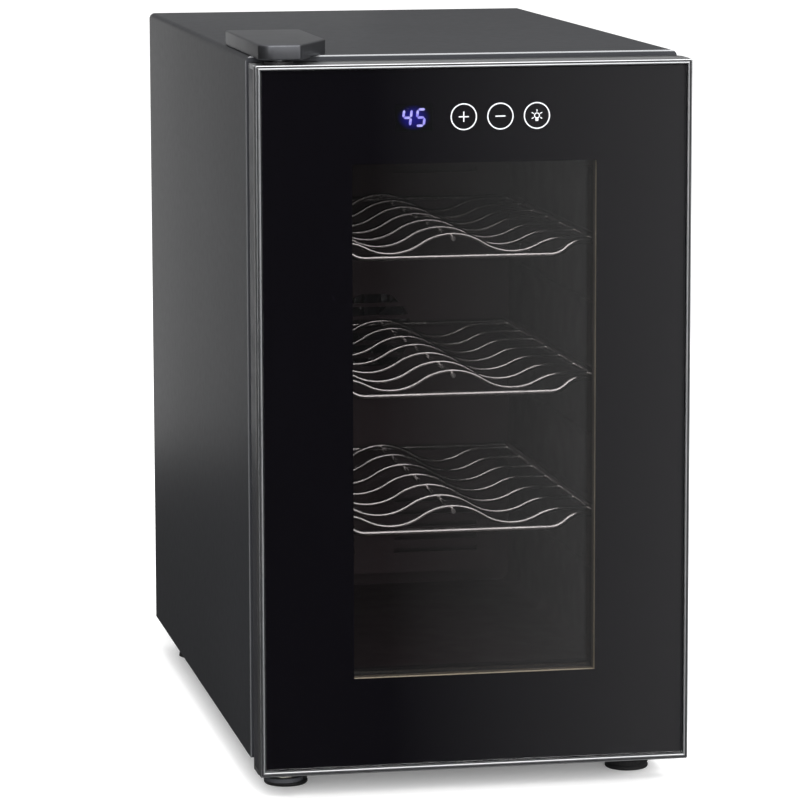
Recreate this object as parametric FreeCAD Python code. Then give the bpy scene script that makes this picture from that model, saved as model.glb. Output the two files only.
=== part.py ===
import FreeCAD, Part
import math
import os

# Free-standing thermoelectric wine cooler for eight bottles, in millimetres.
# +Z is up, the door faces -Y, and the origin is the middle of the footprint on the floor.

V = FreeCAD.Vector
X_AXIS = V(1, 0, 0)
Y_AXIS = V(0, 1, 0)
Z_AXIS = V(0, 0, 1)

# ---- overall sizes -------------------------------------------------------------------------
cabinet_width = 275.0
cabinet_depth = 460.0
cabinet_height = 444.0
ground_gap = 22.0              # floor to the underside of the cabinet
door_depth = 34.0              # without the gasket
door_gap = 6.0                 # back of the door to the front of the cabinet, filled by the gasket
door_top_drop = 3.0            # top of the door below the top of the cabinet
door_overhang = 4.0            # bottom of the door below the underside of the cabinet
spacer_length = 8.0            # wall spacers behind the cabinet

# ---- cabinet sheet metal and liner ---------------------------------------------------------
sheet = 1.0
fold_radius = 4.0
front_return = 14.0            # width of the folded front edge
rear_return = 9.0
liner_wall = 2.0
side_insulation = 33.5         # side of the cabinet to the side of the compartment
liner_floor_height = 40.0      # floor of the compartment above the underside of the cabinet
liner_ceiling_drop = 38.0      # top of the cabinet to the ceiling of the compartment
liner_corner = 8.0
bulkhead_offset = 36.0         # foam behind the liner
machine_depth = 74.0           # bulkhead to the back of the cabinet

# ---- wire racks ----------------------------------------------------------------------------
rack_pitch = 88.0
lowest_rack_height = 98.5      # front bar of the lowest rack above the floor of the compartment
rack_rail = 5.0
rack_rod = 4.0
rack_wire = 3.0
rack_rail_inset = 12.0         # rail from the side of the compartment
rack_rail_rise = 8.0
rack_crest_rise = 12.0
trough_x = 40.0
rack_shoulder_inset = 20.0     # start of the level ends of the cross wires, from the rail
rack_front_gap = 14.0          # front bar behind the front of the cabinet
rack_rear_gap = 12.0           # rack short of the duct cover
rack_wave_count = 7
ledge_width = 15.0
ledge_height = 6.0

# ---- cold side -----------------------------------------------------------------------------
duct_depth = 32.0
duct_side_gap = 16.0           # duct cover short of the sides of the compartment
duct_end_gap = 14.0            # duct cover short of the floor and the ceiling
duct_wall = 2.0
inner_fan_size = 60.0
inner_fan_depth = 14.0
cold_sink_size = 84.0
cold_sink_fins = 14
module_size = 40.0
module_thickness = 4.0
block_size = 48.0
stack_height = 228.0           # centre of the cooling stack above the underside of the cabinet

# ---- hot side ------------------------------------------------------------------------------
hot_sink_size = 100.0
hot_sink_base = 6.0
hot_sink_depth = 40.0
hot_sink_fins = 17
rear_fan_size = 92.0
rear_fan_depth = 25.0
fin_thickness = 1.5

# ---- rear panel and electrics --------------------------------------------------------------
slot_column_x = 62.0
slot_length = 80.0
slot_width = 4.0
slot_pitch = 9.0
spacer_diameter = 18.0
inlet_inset = 41.5
inlet_z = 74.0
inlet_width = 24.5
inlet_height = 16.5
board_inset = 25.5
board_bottom = 44.0
board_width = 120.0
board_height = 84.0
board_thickness = 1.6
standoff_length = 8.0

# ---- door ----------------------------------------------------------------------------------
trim_width = 3.2
trim_depth = 8.0
trim_groove = 0.8
glass_setback = 0.4
glass_thickness = 4.0
glass_clearance = 0.2
print_thickness = 0.3
window_side = 60.3             # side of the door to the clear window
window_bottom = 60.0           # bottom of the door to the clear window
window_top_drop = 62.0         # top of the door to the clear window
glazing_cavity = 12.0
glazing_overlap = 12.0
spacer_width = 8.0
inner_pane = 4.0
pane_clearance = 0.7
retainer_margin = 3.0          # opening of the retainer outside the clear window, at the top and sides
retainer_sill = 2.4            # lower edge of that opening above the lower edge of the window
frame_wall = 2.5
door_cap = 3.0
door_rear_corner = 8.0
gasket_width = 11.0
gasket_margin = 3.0            # gasket outside the mouth of the liner
gasket_clearance = 0.3
grip_length = 120.0
grip_depth = 11.0
grip_width = 13.0
grip_height = 214.0            # middle of the finger grip above the bottom of the door
grip_setback = 5.0             # finger grip behind the trim

# ---- controls ------------------------------------------------------------------------------
control_drop = 33.7            # centre line below the top of the door
key_spacing = 23.1
first_key_x = -7.1
key_ring = 16.6
symbol_line = 0.7
display_x = -38.4
digit_height = 11.5
digit_width = 6.2
digit_pitch = 8.6
segment_width = 1.5
segment_gap = 0.2              # point of a lit bar from the corner of its digit
digit_slant = 0.12
pad_length = 4.0               # touch board behind the printed mask

# ---- hinges --------------------------------------------------------------------------------
hinge_inset = 17.0             # axis from the side of the cabinet
hinge_setback = 16.0           # axis behind the front of the door
pin_diameter = 8.0
lower_pin_diameter = 6.0
pin_clearance = 0.05
bushing_wall = 3.0
bushing_length = 14.0
bushing_flange = 1.5
hinge_sheet = 2.5
cover_left = 3.1               # cover inside the side of the cabinet
cover_width = 48.7
cover_length = 146.0
cover_height = 9.5
cover_wall = 2.0
cover_nose = 25.8              # width of the front edge of the cover
cover_taper = 49.0             # length of the slanted side
cover_corner = 9.0
washer_height = 2.5            # gap between the door and the bottom hinge plate
tongue_width = 24.0

# ---- feet and fasteners --------------------------------------------------------------------
foot_inset = 25.5              # foot from the side of the cabinet
foot_setback = 20.0
foot_diameter = 28.0
foot_tread = 7.0
foot_stud = 8.0
foot_clearance = 0.05
screw_head = 8.0
screw_shank = 4.0

# ---- positions that follow -----------------------------------------------------------------
half_width = cabinet_width / 2
total_depth = door_depth + door_gap + cabinet_depth + spacer_length
door_front = -total_depth / 2
door_back = door_front + door_depth
cabinet_front = door_back + door_gap
cabinet_rear = cabinet_front + cabinet_depth
cabinet_bottom = ground_gap
cabinet_top = cabinet_bottom + cabinet_height
door_bottom = cabinet_bottom - door_overhang
door_top = cabinet_top - door_top_drop
liner_half_width = half_width - side_insulation
liner_floor = cabinet_bottom + liner_floor_height
liner_ceiling = cabinet_top - liner_ceiling_drop
bulkhead_front = cabinet_rear - machine_depth
liner_back = bulkhead_front - bulkhead_offset
duct_front = liner_back - duct_depth
duct_half_width = liner_half_width - duct_side_gap
rack_front = cabinet_front + rack_front_gap
rack_length = duct_front - rack_rear_gap - rack_front
rack_rail_x = liner_half_width - rack_rail_inset
rack_shoulder_x = rack_rail_x - rack_shoulder_inset
stack_z = cabinet_bottom + stack_height
hinge_x = -half_width + hinge_inset
hinge_y = door_front + hinge_setback
glass_front = door_front + glass_setback
glass_back = glass_front + glass_thickness
mask_back = glass_back + 2 * print_thickness
pane_front = mask_back + glazing_cavity
pane_back = pane_front + inner_pane
window_half_width = half_width - window_side
window_low = door_bottom + window_bottom
window_high = door_top - window_top_drop
pane_half_width = window_half_width + glazing_overlap
pane_bottom = window_low - glazing_overlap
pane_top = window_high + glazing_overlap
control_z = door_top - control_drop
foot_x = half_width - foot_inset
foot_y = cabinet_front + foot_setback
inlet_x = half_width - inlet_inset
board_left = -half_width + board_inset


# ---- shape helpers -------------------------------------------------------------------------
def block(x0, x1, y0, y1, z0, z1):
    """A box between two corners."""
    return Part.makeBox(x1 - x0, y1 - y0, z1 - z0, V(x0, y0, z0))


def rod(start, direction, length, diameter):
    """A cylinder that starts at a point and runs along a direction."""
    return Part.makeCylinder(diameter / 2, length, start, direction)


def fused(shapes):
    """One solid from overlapping or touching shapes."""
    first = shapes[0]
    if len(shapes) == 1:
        return first
    return first.multiFuse(shapes[1:]).removeSplitter()


def rounded_block(x0, x1, y0, y1, z0, z1, radius, direction):
    """A box whose four edges along one axis are rounded."""
    body = block(x0, x1, y0, y1, z0, z1)
    edges = [e for e in body.Edges if abs(e.tangentAt(e.FirstParameter).dot(direction)) > 0.99]
    return body.makeFillet(radius, edges)


def ring_block(outer, inner):
    """The space between two boxes, each given as its six limits."""
    return block(*outer).cut(block(*inner))


def outline_solid(points, z0, height):
    """A flat outline of points (x, y) raised to a height."""
    wire = Part.makePolygon([V(x, y, z0) for x, y in points + points[:1]])
    return Part.Face(wire).extrude(V(0, 0, height))


def tube_along(edges, diameter):
    """A round wire swept along a path of edges that are tangent to each other."""
    path = Part.Wire(edges)
    start = edges[0].valueAt(edges[0].FirstParameter)
    heading = edges[0].tangentAt(edges[0].FirstParameter)
    section = Part.Wire(Part.makeCircle(diameter / 2, start, heading))
    return path.makePipeShell([section], True, False)


def s_bend(start, end):
    """Two equal tangent arcs in an XZ plane between two points whose tangents are level."""
    half_run = (end.x - start.x) / 2
    half_rise = (end.z - start.z) / 2
    angle = 2 * math.atan(abs(half_rise / half_run))
    radius = abs(half_run) / math.sin(angle)
    step_x = math.copysign(radius * math.sin(angle / 2), half_run)
    step_z = math.copysign(radius * (1 - math.cos(angle / 2)), half_rise)
    middle = V(start.x + half_run, start.y, start.z + half_rise)
    near_start = V(start.x + step_x, start.y, start.z + step_z)
    near_end = V(end.x - step_x, end.y, end.z - step_z)
    return [Part.Arc(start, near_start, middle).toShape(), Part.Arc(middle, near_end, end).toShape()]


def straight(start, end):
    """A straight edge."""
    return Part.LineSegment(start, end).toShape()


def screw(seat, direction, length):
    """A pan-head screw: the head stands on the seat and the shank goes along the direction."""
    head_height = 0.3 * screw_head
    head = rod(seat, direction.negative(), head_height, screw_head)
    rim = [e for e in head.Edges if e.Closed and (e.valueAt(0) - seat).dot(direction) < -0.1]
    head = head.makeFillet(0.6 * head_height, rim)
    shank = rod(seat, direction, length, screw_shank)
    drive = rod(seat - direction * head_height, direction, 0.5 * head_height, 0.4 * screw_head)
    return head.fuse(shank).cut(drive)


# ---- cabinet shell -------------------------------------------------------------------------
def wrap_outline(offset):
    """The outside of the folded sheet moved inwards, as a solid from front to rear."""
    body = block(-half_width + offset, half_width - offset, cabinet_front, cabinet_rear,
                 cabinet_bottom, cabinet_top - offset)
    corners = [e for e in body.Edges
               if abs(e.tangentAt(e.FirstParameter).y) > 0.99 and e.CenterOfMass.z > stack_z]
    return body.makeFillet(fold_radius - offset, corners)


def make_cabinet_wrap():
    outside = wrap_outline(0)
    inside = wrap_outline(sheet)
    shell = outside.cut(inside)
    returns = []
    for edge_y, width, inward in ((cabinet_front, front_return, 1), (cabinet_rear, rear_return, -1)):
        y0 = min(edge_y, edge_y + inward * sheet)
        band = block(-half_width, half_width, y0, y0 + sheet, cabinet_bottom, cabinet_top)
        opening = block(-half_width + width, half_width - width, y0, y0 + sheet,
                        cabinet_bottom, cabinet_top - width)
        returns.append(inside.common(band.cut(opening)))
    wrap = fused([shell] + returns)
    for point in upper_hinge_screws():
        wrap = wrap.cut(rod(V(point.x, point.y, cabinet_top - sheet), Z_AXIS, sheet, screw_shank))
    for point in rear_screw_points():
        wrap = wrap.cut(rod(V(point.x, cabinet_rear - sheet, point.z), Y_AXIS, sheet, screw_shank))
    return wrap


def foot_places():
    """Centres of the two front feet."""
    return [V(side * foot_x, foot_y, 0) for side in (-1, 1)]


def rear_foot_places():
    return [V(side * foot_x, cabinet_rear - 2 * foot_setback, 0) for side in (-1, 1)]


def make_base_plate():
    side = half_width - front_return
    plate = block(-half_width + sheet, half_width - sheet, cabinet_front + sheet, cabinet_rear - sheet,
                  cabinet_bottom, cabinet_bottom + sheet)
    front_lip = block(-side, side, cabinet_front, cabinet_front + sheet,
                      cabinet_bottom, cabinet_bottom + front_return)
    rear_lip = block(-half_width + rear_return, half_width - rear_return, cabinet_rear - sheet, cabinet_rear,
                     cabinet_bottom, cabinet_bottom + rear_return)
    plate = fused([plate, front_lip, rear_lip])
    for place in foot_places():
        plate = plate.cut(rod(V(place.x, place.y, cabinet_bottom), Z_AXIS, sheet, foot_stud + 2))
    for place in rear_foot_places():
        plate = plate.cut(rod(V(place.x, place.y, cabinet_bottom), Z_AXIS, sheet, screw_shank))
    for point in lower_hinge_screws():
        plate = plate.cut(rod(V(point.x, point.y, cabinet_bottom), Z_AXIS, sheet, screw_shank))
    return plate


def make_bulkhead():
    plate = block(-half_width + sheet, half_width - sheet, bulkhead_front, bulkhead_front + sheet,
                  cabinet_bottom + sheet, cabinet_top - rear_return)
    return plate.cut(cube_at_stack(block_size + 4, bulkhead_front, bulkhead_front + sheet))


def cube_at_stack(size, y0, y1):
    """A square block centred on the cooling stack."""
    return block(-size / 2, size / 2, y0, y1, stack_z - size / 2, stack_z + size / 2)


# ---- liner and foam ------------------------------------------------------------------------
def rack_heights():
    """Height of the front bar of each rack, lowest first."""
    return [liner_floor + lowest_rack_height + rack_pitch * i for i in range(3)]


def liner_cavity(offset):
    """The compartment enlarged by an offset, as a solid that is open to the front."""
    return rounded_block(-liner_half_width - offset, liner_half_width + offset,
                         cabinet_front, liner_back + offset,
                         liner_floor - offset, liner_ceiling + offset, liner_corner + offset, Y_AXIS)


def light_hole(margin, z0, z1):
    """The opening for the lamp in the ceiling, enlarged by a margin."""
    return block(-40 - margin, 40 + margin, cabinet_front + 60 - margin, cabinet_front + 76 + margin, z0, z1)


def make_liner():
    flange = block(-half_width + front_return, half_width - front_return,
                   cabinet_front, cabinet_front + liner_wall,
                   cabinet_bottom + front_return, cabinet_top - front_return)
    body = liner_cavity(liner_wall).fuse(flange).cut(liner_cavity(0))
    ledge_end = duct_front - rack_wire
    for height in rack_heights():
        top = height + rack_rail_rise - rack_rail / 2
        for side in (-1, 1):
            inner = side * (liner_half_width - ledge_width)
            outer = side * (liner_half_width + liner_wall / 2)
            ledge = block(min(inner, outer), max(inner, outer), cabinet_front + 6, ledge_end,
                          top - ledge_height, top)
            body = body.fuse(ledge)
    for height in rack_heights() + [rack_heights()[-1] + rack_pitch]:
        guide_z = height - rack_pitch / 2
        for side in (-1, 1):
            inner = side * (liner_half_width - 3)
            outer = side * (liner_half_width + liner_wall / 2)
            guide = block(min(inner, outer), max(inner, outer), cabinet_front + 30, ledge_end,
                          guide_z, guide_z + 4)
            body = body.fuse(guide)
    body = body.cut(cube_at_stack(block_size + 1, liner_back, liner_back + liner_wall))
    body = body.cut(light_hole(0.5, liner_ceiling, liner_ceiling + liner_wall))
    return body.removeSplitter()


def make_foam():
    body = wrap_outline(sheet)
    room = block(-half_width, half_width, cabinet_front + liner_wall, bulkhead_front,
                 cabinet_bottom + sheet, cabinet_top)
    body = body.common(room)
    body = body.cut(liner_cavity(liner_wall))
    body = body.cut(cube_at_stack(block_size + 1, liner_back, bulkhead_front))
    body = body.cut(light_hole(3, liner_ceiling, liner_ceiling + 8))
    for place in foot_places() + rear_foot_places():
        body = body.cut(rod(V(place.x, place.y, cabinet_bottom), Z_AXIS, 22, 26))
    for point in lower_hinge_screws():
        body = body.cut(rod(V(point.x, point.y, cabinet_bottom), Z_AXIS, 10, screw_head))
    for point in upper_hinge_screws():
        body = body.cut(rod(V(point.x, point.y, cabinet_top - 12), Z_AXIS, 12, screw_head))
    return body


# ---- wire racks ----------------------------------------------------------------------------
def rack_cross_wire(y, z, diameter):
    """A wire that dips under both bottles and rises between them and at the side rails."""
    stations = [(-rack_rail_x, rack_rail_rise), (-rack_shoulder_x, rack_rail_rise), (-trough_x, 0),
                (0, rack_crest_rise), (trough_x, 0), (rack_shoulder_x, rack_rail_rise),
                (rack_rail_x, rack_rail_rise)]
    points = [V(x, y, z + rise) for x, rise in stations]
    edges = [straight(points[0], points[1])]
    for start, end in zip(points[1:-2], points[2:-1]):
        edges += s_bend(start, end)
    edges.append(straight(points[-2], points[-1]))
    return tube_along(edges, diameter)


def rack_front_bar(y, z):
    """The straight front bar, which steps up to the side rails at both ends."""
    step_start = rack_shoulder_x - 12
    step_end = rack_shoulder_x + 8
    points = [V(-rack_rail_x, y, z + rack_rail_rise), V(-step_end, y, z + rack_rail_rise),
              V(-step_start, y, z), V(step_start, y, z), V(step_end, y, z + rack_rail_rise),
              V(rack_rail_x, y, z + rack_rail_rise)]
    edges = [straight(points[0], points[1])]
    edges += s_bend(points[1], points[2])
    edges.append(straight(points[2], points[3]))
    edges += s_bend(points[3], points[4])
    edges.append(straight(points[4], points[5]))
    return tube_along(edges, rack_rod)


def make_rack(z):
    """Two side rails, a stepped front bar, a rear bar, cross wires that cradle the bottles and a spine."""
    rail_z = z + rack_rail_rise
    rails = [rod(V(side * rack_rail_x, rack_front, rail_z), Y_AXIS, rack_length, rack_rail) for side in (-1, 1)]
    rear_y = rack_front + rack_length - rack_rail
    rear_bar = rod(V(-rack_rail_x, rear_y, rail_z), X_AXIS, 2 * rack_rail_x, rack_rod)
    first_wire = rack_front + 26
    spacing = (rear_y - first_wire - 12) / (rack_wave_count - 1)
    waves = [rack_cross_wire(first_wire + i * spacing, z, rack_wire) for i in range(rack_wave_count)]
    spine_z = z + rack_crest_rise - 0.8 * rack_wire
    spine = rod(V(0, first_wire - 6, spine_z), Y_AXIS, (rack_wave_count - 1) * spacing + 12, rack_wire)
    return fused(rails + [rack_front_bar(rack_front + rack_rail, z), rear_bar, spine] + waves)


# ---- interior light, sensor and duct -------------------------------------------------------
def make_light_lens():
    plate = light_hole(4, liner_ceiling - 2, liner_ceiling)
    plug = light_hole(0, liner_ceiling, liner_ceiling + liner_wall + 1)
    return plate.fuse(plug).removeSplitter()


def make_light_board():
    board = light_hole(-1, liner_ceiling + liner_wall + 3, liner_ceiling + liner_wall + 4.6)
    lamps = []
    for i in range(5):
        x = -30 + 15 * i
        lamps.append(block(x - 1.5, x + 1.5, cabinet_front + 66.5, cabinet_front + 69.5,
                           liner_ceiling + liner_wall + 1.8, liner_ceiling + liner_wall + 3))
    return fused([board] + lamps)


def make_duct_cover():
    low = liner_floor + duct_end_gap
    high = liner_ceiling - duct_end_gap
    cover = rounded_block(-duct_half_width, duct_half_width, duct_front, liner_back, low, high, 10, Y_AXIS)
    hollow = block(-duct_half_width + duct_wall, duct_half_width - duct_wall,
                   duct_front + duct_wall, liner_back, low + duct_wall, high - duct_wall)
    cover = cover.cut(hollow)
    inlet = rod(V(0, duct_front, stack_z), Y_AXIS, duct_wall, inner_fan_size - 6)
    bars = [block(-inner_fan_size / 2, inner_fan_size / 2, duct_front, duct_front + duct_wall,
                  stack_z + i * slot_pitch - 1.5, stack_z + i * slot_pitch + 1.5) for i in range(-3, 4)]
    for bar in bars:
        inlet = inlet.cut(bar)
    cover = cover.cut(inlet)
    slots = []
    for base in (low + 16, high - 16 - 4 * slot_pitch):
        for i in range(5):
            for side in (-1, 1):
                centre = side * duct_half_width / 2
                slots.append(block(centre - 30, centre + 30, duct_front, duct_front + duct_wall,
                                   base + i * slot_pitch - 1.5, base + i * slot_pitch + 1.5))
    return cover.cut(Part.makeCompound(slots))


def make_sensor():
    bracket = block(liner_half_width - 5, liner_half_width, duct_front - 44, duct_front - 24,
                    rack_heights()[1] + 60, rack_heights()[1] + 66)
    probe = rod(V(liner_half_width - 6, duct_front - 46, rack_heights()[1] + 63), Y_AXIS, 24, 6)
    return bracket.fuse(probe).removeSplitter()


# ---- heat sinks, fans ----------------------------------------------------------------------
def finned_sink(size, base_y0, base_y1, fin_y0, fin_y1, count):
    """A plate with upright fins; the fins reach from the plate to one side."""
    parts = [cube_at_stack(size, base_y0, base_y1)]
    pitch = (size - fin_thickness) / (count - 1)
    for i in range(count):
        x = -size / 2 + i * pitch
        parts.append(block(x, x + fin_thickness, fin_y0, fin_y1, stack_z - size / 2, stack_z + size / 2))
    return fused(parts)


def fan_frame(size, depth, y0, hub):
    """A square fan housing with a round duct, four struts and a motor plate at its rear."""
    duct = size - 6
    plate = 2.0
    body = rounded_block(-size / 2, size / 2, y0, y0 + depth, stack_z - size / 2, stack_z + size / 2, 4, Y_AXIS)
    body = body.cut(rod(V(0, y0, stack_z), Y_AXIS, depth, duct))
    struts = [rod(V(0, y0 + depth - plate, stack_z), Y_AXIS, plate, hub)]
    for i in range(4):
        strut = block(-duct / 2 - 1, 0, y0 + depth - plate, y0 + depth, stack_z - 2, stack_z + 2)
        struts.append(strut.rotate(V(0, y0, stack_z), Y_AXIS, 45 + 90 * i))
    bearing = rod(V(0, y0 + depth - 2 * plate, stack_z), Y_AXIS, plate, hub / 3)
    shaft_hole = rod(V(0, y0, stack_z), Y_AXIS, depth, 3 + 2 * pin_clearance)
    body = fused([body, bearing] + struts).cut(shaft_hole)
    inset = size / 2 - 6
    for sx in (-1, 1):
        for sz in (-1, 1):
            body = body.cut(rod(V(sx * inset, y0, stack_z + sz * inset), Y_AXIS, depth, 4.3))
    return body


def fan_rotor(size, depth, y0, hub, blades):
    """Hub, shaft and pitched blades that turn inside the housing."""
    tip_radius = (size - 6) / 2 - 1
    swept = depth - 6.5
    front = y0 + 1
    pieces = [rod(V(0, front, stack_z), Y_AXIS, swept, hub),
              rod(V(0, front + swept, stack_z), Y_AXIS, depth - 2 - swept, 3)]
    ring = rod(V(0, front + 0.5, stack_z), Y_AXIS, swept - 1, 2 * tip_radius)
    for i in range(blades):
        chord = 1.5 * tip_radius * math.sin(math.pi / blades)
        blade = block(-chord / 2, chord / 2, -0.7, 0.7, hub / 2 - 1, tip_radius + 2)
        blade.rotate(V(0, 0, 0), Z_AXIS, 34)
        blade.translate(V(0, front + swept / 2, stack_z))
        blade.rotate(V(0, 0, stack_z), Y_AXIS, 360 * i / blades)
        pieces.append(blade.common(ring))
    return fused(pieces)


def make_fan_guard():
    """Wire rings on four flat spokes that end in screw eyes."""
    seat = cabinet_rear + sheet
    spoke_height = 1.5
    radii = [rear_fan_size / 2 - 2 - 10 * i for i in range(4)]
    pieces = [Part.makeTorus(r, 1.0, V(0, seat + spoke_height + 0.5, stack_z), Y_AXIS) for r in radii]
    reach = (rear_fan_size / 2 - 6) * math.sqrt(2)
    for i in range(4):
        spoke = block(-1.5, 1.5, seat, seat + spoke_height, stack_z - 1.5, stack_z + reach)
        eye = rod(V(0, seat, stack_z + reach), Y_AXIS, spoke_height, 9)
        hole = rod(V(0, seat, stack_z + reach), Y_AXIS, spoke_height, 4.3)
        pieces.append(spoke.fuse(eye).cut(hole).rotate(V(0, seat, stack_z), Y_AXIS, 45 + 90 * i))
    return fused(pieces)


# ---- rear panel and electrics --------------------------------------------------------------
def rear_screw_points():
    """Where the screws sit on the outside of the rear panel."""
    x = half_width - rear_return / 2 - sheet
    rows = [cabinet_bottom + 40 + i * (cabinet_height - 80) / 2 for i in range(3)]
    return [V(side * x, cabinet_rear + sheet, z) for side in (-1, 1) for z in rows]


def air_slots(low, rows):
    """Two columns of slots through the rear panel."""
    slots = []
    for i in range(rows):
        for side in (-1, 1):
            centre = side * slot_column_x
            z = low + i * slot_pitch
            slots.append(block(centre - slot_length / 2, centre + slot_length / 2,
                               cabinet_rear, cabinet_rear + sheet, z, z + slot_width))
    return slots


def make_rear_panel():
    y0 = cabinet_rear
    panel = block(-half_width + 2 * sheet, half_width - 2 * sheet, y0, y0 + sheet,
                  cabinet_bottom + 2 * sheet, cabinet_top - 2 * sheet)
    openings = [rod(V(0, y0, stack_z), Y_AXIS, sheet, rear_fan_size - 4)]
    openings += air_slots(cabinet_bottom + 84, 7)
    openings += air_slots(cabinet_top - 84, 7)
    openings.append(block(inlet_x - inlet_width / 2 - 2, inlet_x + inlet_width / 2 + 2, y0, y0 + sheet,
                          inlet_z - inlet_height / 2 - 2, inlet_z + inlet_height / 2 + 2))
    for point in rear_screw_points():
        openings.append(rod(V(point.x, y0, point.z), Y_AXIS, sheet, screw_shank))
    return panel.cut(Part.makeCompound(openings))


def make_rear_screws():
    return Part.makeCompound([screw(point, Y_AXIS.negative(), 8) for point in rear_screw_points()])


def make_wall_spacers():
    length = spacer_length - sheet
    x = half_width - 2 * spacer_diameter
    posts = []
    for side in (-1, 1):
        for z in (cabinet_bottom + spacer_diameter, cabinet_top - 1.5 * spacer_diameter):
            post = rod(V(side * x, cabinet_rear + sheet, z), Y_AXIS, length, spacer_diameter)
            rim = [e for e in post.Edges if e.Closed and e.valueAt(0).y > cabinet_rear + sheet + 1]
            posts.append(post.makeFillet(2, rim))
    return Part.makeCompound(posts)


def make_power_inlet():
    y1 = cabinet_rear + sheet
    flange = rounded_block(inlet_x - inlet_width / 2 - 4, inlet_x + inlet_width / 2 + 4, y1, y1 + 3,
                           inlet_z - inlet_height / 2 - 4, inlet_z + inlet_height / 2 + 4, 3, Y_AXIS)
    shell = block(inlet_x - inlet_width / 2 - 2, inlet_x + inlet_width / 2 + 2, y1 - 22, y1,
                  inlet_z - inlet_height / 2 - 2, inlet_z + inlet_height / 2 + 2)
    recess = rounded_block(inlet_x - inlet_width / 2, inlet_x + inlet_width / 2, y1 - 17, y1 + 3,
                           inlet_z - inlet_height / 2, inlet_z + inlet_height / 2, 3, Y_AXIS)
    body = flange.fuse(shell).cut(recess).removeSplitter()
    for dx, dz in ((-7, -2), (0, 2), (7, -2)):
        body = body.fuse(block(inlet_x + dx - 1, inlet_x + dx + 1, y1 - 18, y1 - 6,
                               inlet_z + dz - 2, inlet_z + dz + 2))
    return body


def board_corners():
    """Centres of the posts that hold the power board."""
    return [V(x, bulkhead_front + sheet, z)
            for x in (board_left + 6, board_left + board_width - 6)
            for z in (board_bottom + 6, board_bottom + board_height - 6)]


def make_power_board():
    y0 = bulkhead_front + sheet + standoff_length
    board = block(board_left, board_left + board_width, y0, y0 + board_thickness,
                  board_bottom, board_bottom + board_height)
    for corner in board_corners():
        board = board.cut(rod(V(corner.x, y0, corner.z), Y_AXIS, board_thickness, 3.2))
    return board


def make_standoffs():
    posts = []
    for corner in board_corners():
        post = rod(corner, Y_AXIS, standoff_length, 7)
        tip = rod(corner, Y_AXIS, standoff_length + board_thickness, 3.2)
        posts.append(post.fuse(tip))
    return Part.makeCompound(posts)


def make_transformer():
    y0 = bulkhead_front + sheet + standoff_length + board_thickness
    core = block(board_left + 24, board_left + 66, y0, y0 + 30, board_bottom + 28, board_bottom + 42)
    winding = rounded_block(board_left + 30, board_left + 60, y0 + 2, y0 + 28,
                            board_bottom + 18, board_bottom + 52, 4, Y_AXIS)
    return core.fuse(winding).removeSplitter()


def make_capacitors():
    y0 = bulkhead_front + sheet + standoff_length + board_thickness
    cans = []
    for dx, dz, diameter, length in ((84, 20, 18, 28), (84, 44, 18, 28), (100, 66, 10, 16), (86, 66, 10, 16)):
        can = rod(V(board_left + dx, y0, board_bottom + dz), Y_AXIS, length, diameter)
        rim = [e for e in can.Edges if e.Closed and e.valueAt(0).y > y0 + 1]
        cans.append(can.makeFillet(1, rim))
    return Part.makeCompound(cans)


# ---- hinges --------------------------------------------------------------------------------
def cover_outline(offset):
    """The hinge cover seen from above, moved inwards by an offset."""
    x0 = -half_width + cover_left
    y0 = door_front + 0.5
    x1 = x0 + cover_width
    y1 = y0 + cover_length
    run = cover_width - cover_nose
    slant = math.hypot(run, cover_taper)
    shift_x = offset * cover_taper / slant
    shift_y = offset * run / slant
    front_share = (offset - shift_y) / cover_taper
    side_share = (run - offset + shift_x) / run
    return [(x0 + offset, y0 + offset),
            (x0 + cover_nose + front_share * run - shift_x, y0 + offset),
            (x1 - offset, y0 + side_share * cover_taper + shift_y),
            (x1 - offset, y1 - offset),
            (x0 + offset, y1 - offset)]


def make_top_hinge_cover():
    body = outline_solid(cover_outline(0), cabinet_top, cover_height)
    upright = [e for e in body.Edges if abs(e.tangentAt(e.FirstParameter).z) > 0.99]
    nose = [e for e in upright if e.CenterOfMass.x < hinge_x and e.CenterOfMass.y < hinge_y]
    others = [e for e in upright if e.CenterOfMass.x > hinge_x or e.CenterOfMass.y > hinge_y]
    body = body.makeFillet(cover_corner, nose)
    others = [e for e in body.Edges if abs(e.tangentAt(e.FirstParameter).z) > 0.99
              and any((e.CenterOfMass - o.CenterOfMass).Length < 0.1 for o in others)]
    body = body.makeFillet(3, others)
    rim = [e for e in body.Edges if e.BoundBox.ZMin > cabinet_top + cover_height - 0.01]
    body = body.makeFillet(1.2, rim)
    hollow = outline_solid(cover_outline(cover_wall), cabinet_top, cover_height - cover_wall)
    corner = [e for e in hollow.Edges if abs(e.tangentAt(e.FirstParameter).z) > 0.99
              and e.CenterOfMass.x < hinge_x and e.CenterOfMass.y < hinge_y]
    return body.cut(hollow.makeFillet(cover_corner - cover_wall, corner))


def upper_hinge_screws():
    """Where the screws sit on the top hinge plate."""
    x = -half_width + cover_left + cover_width / 2
    return [V(x, cabinet_front + 25 + 30 * i, cabinet_top + hinge_sheet) for i in range(3)]


def lower_hinge_screws():
    """Where the screws sit on the underside of the bottom hinge plate."""
    return [V(-foot_x + dx, foot_y + dy, cabinet_bottom - hinge_sheet) for dx, dy in ((24, -6), (24, 14))]


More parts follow.
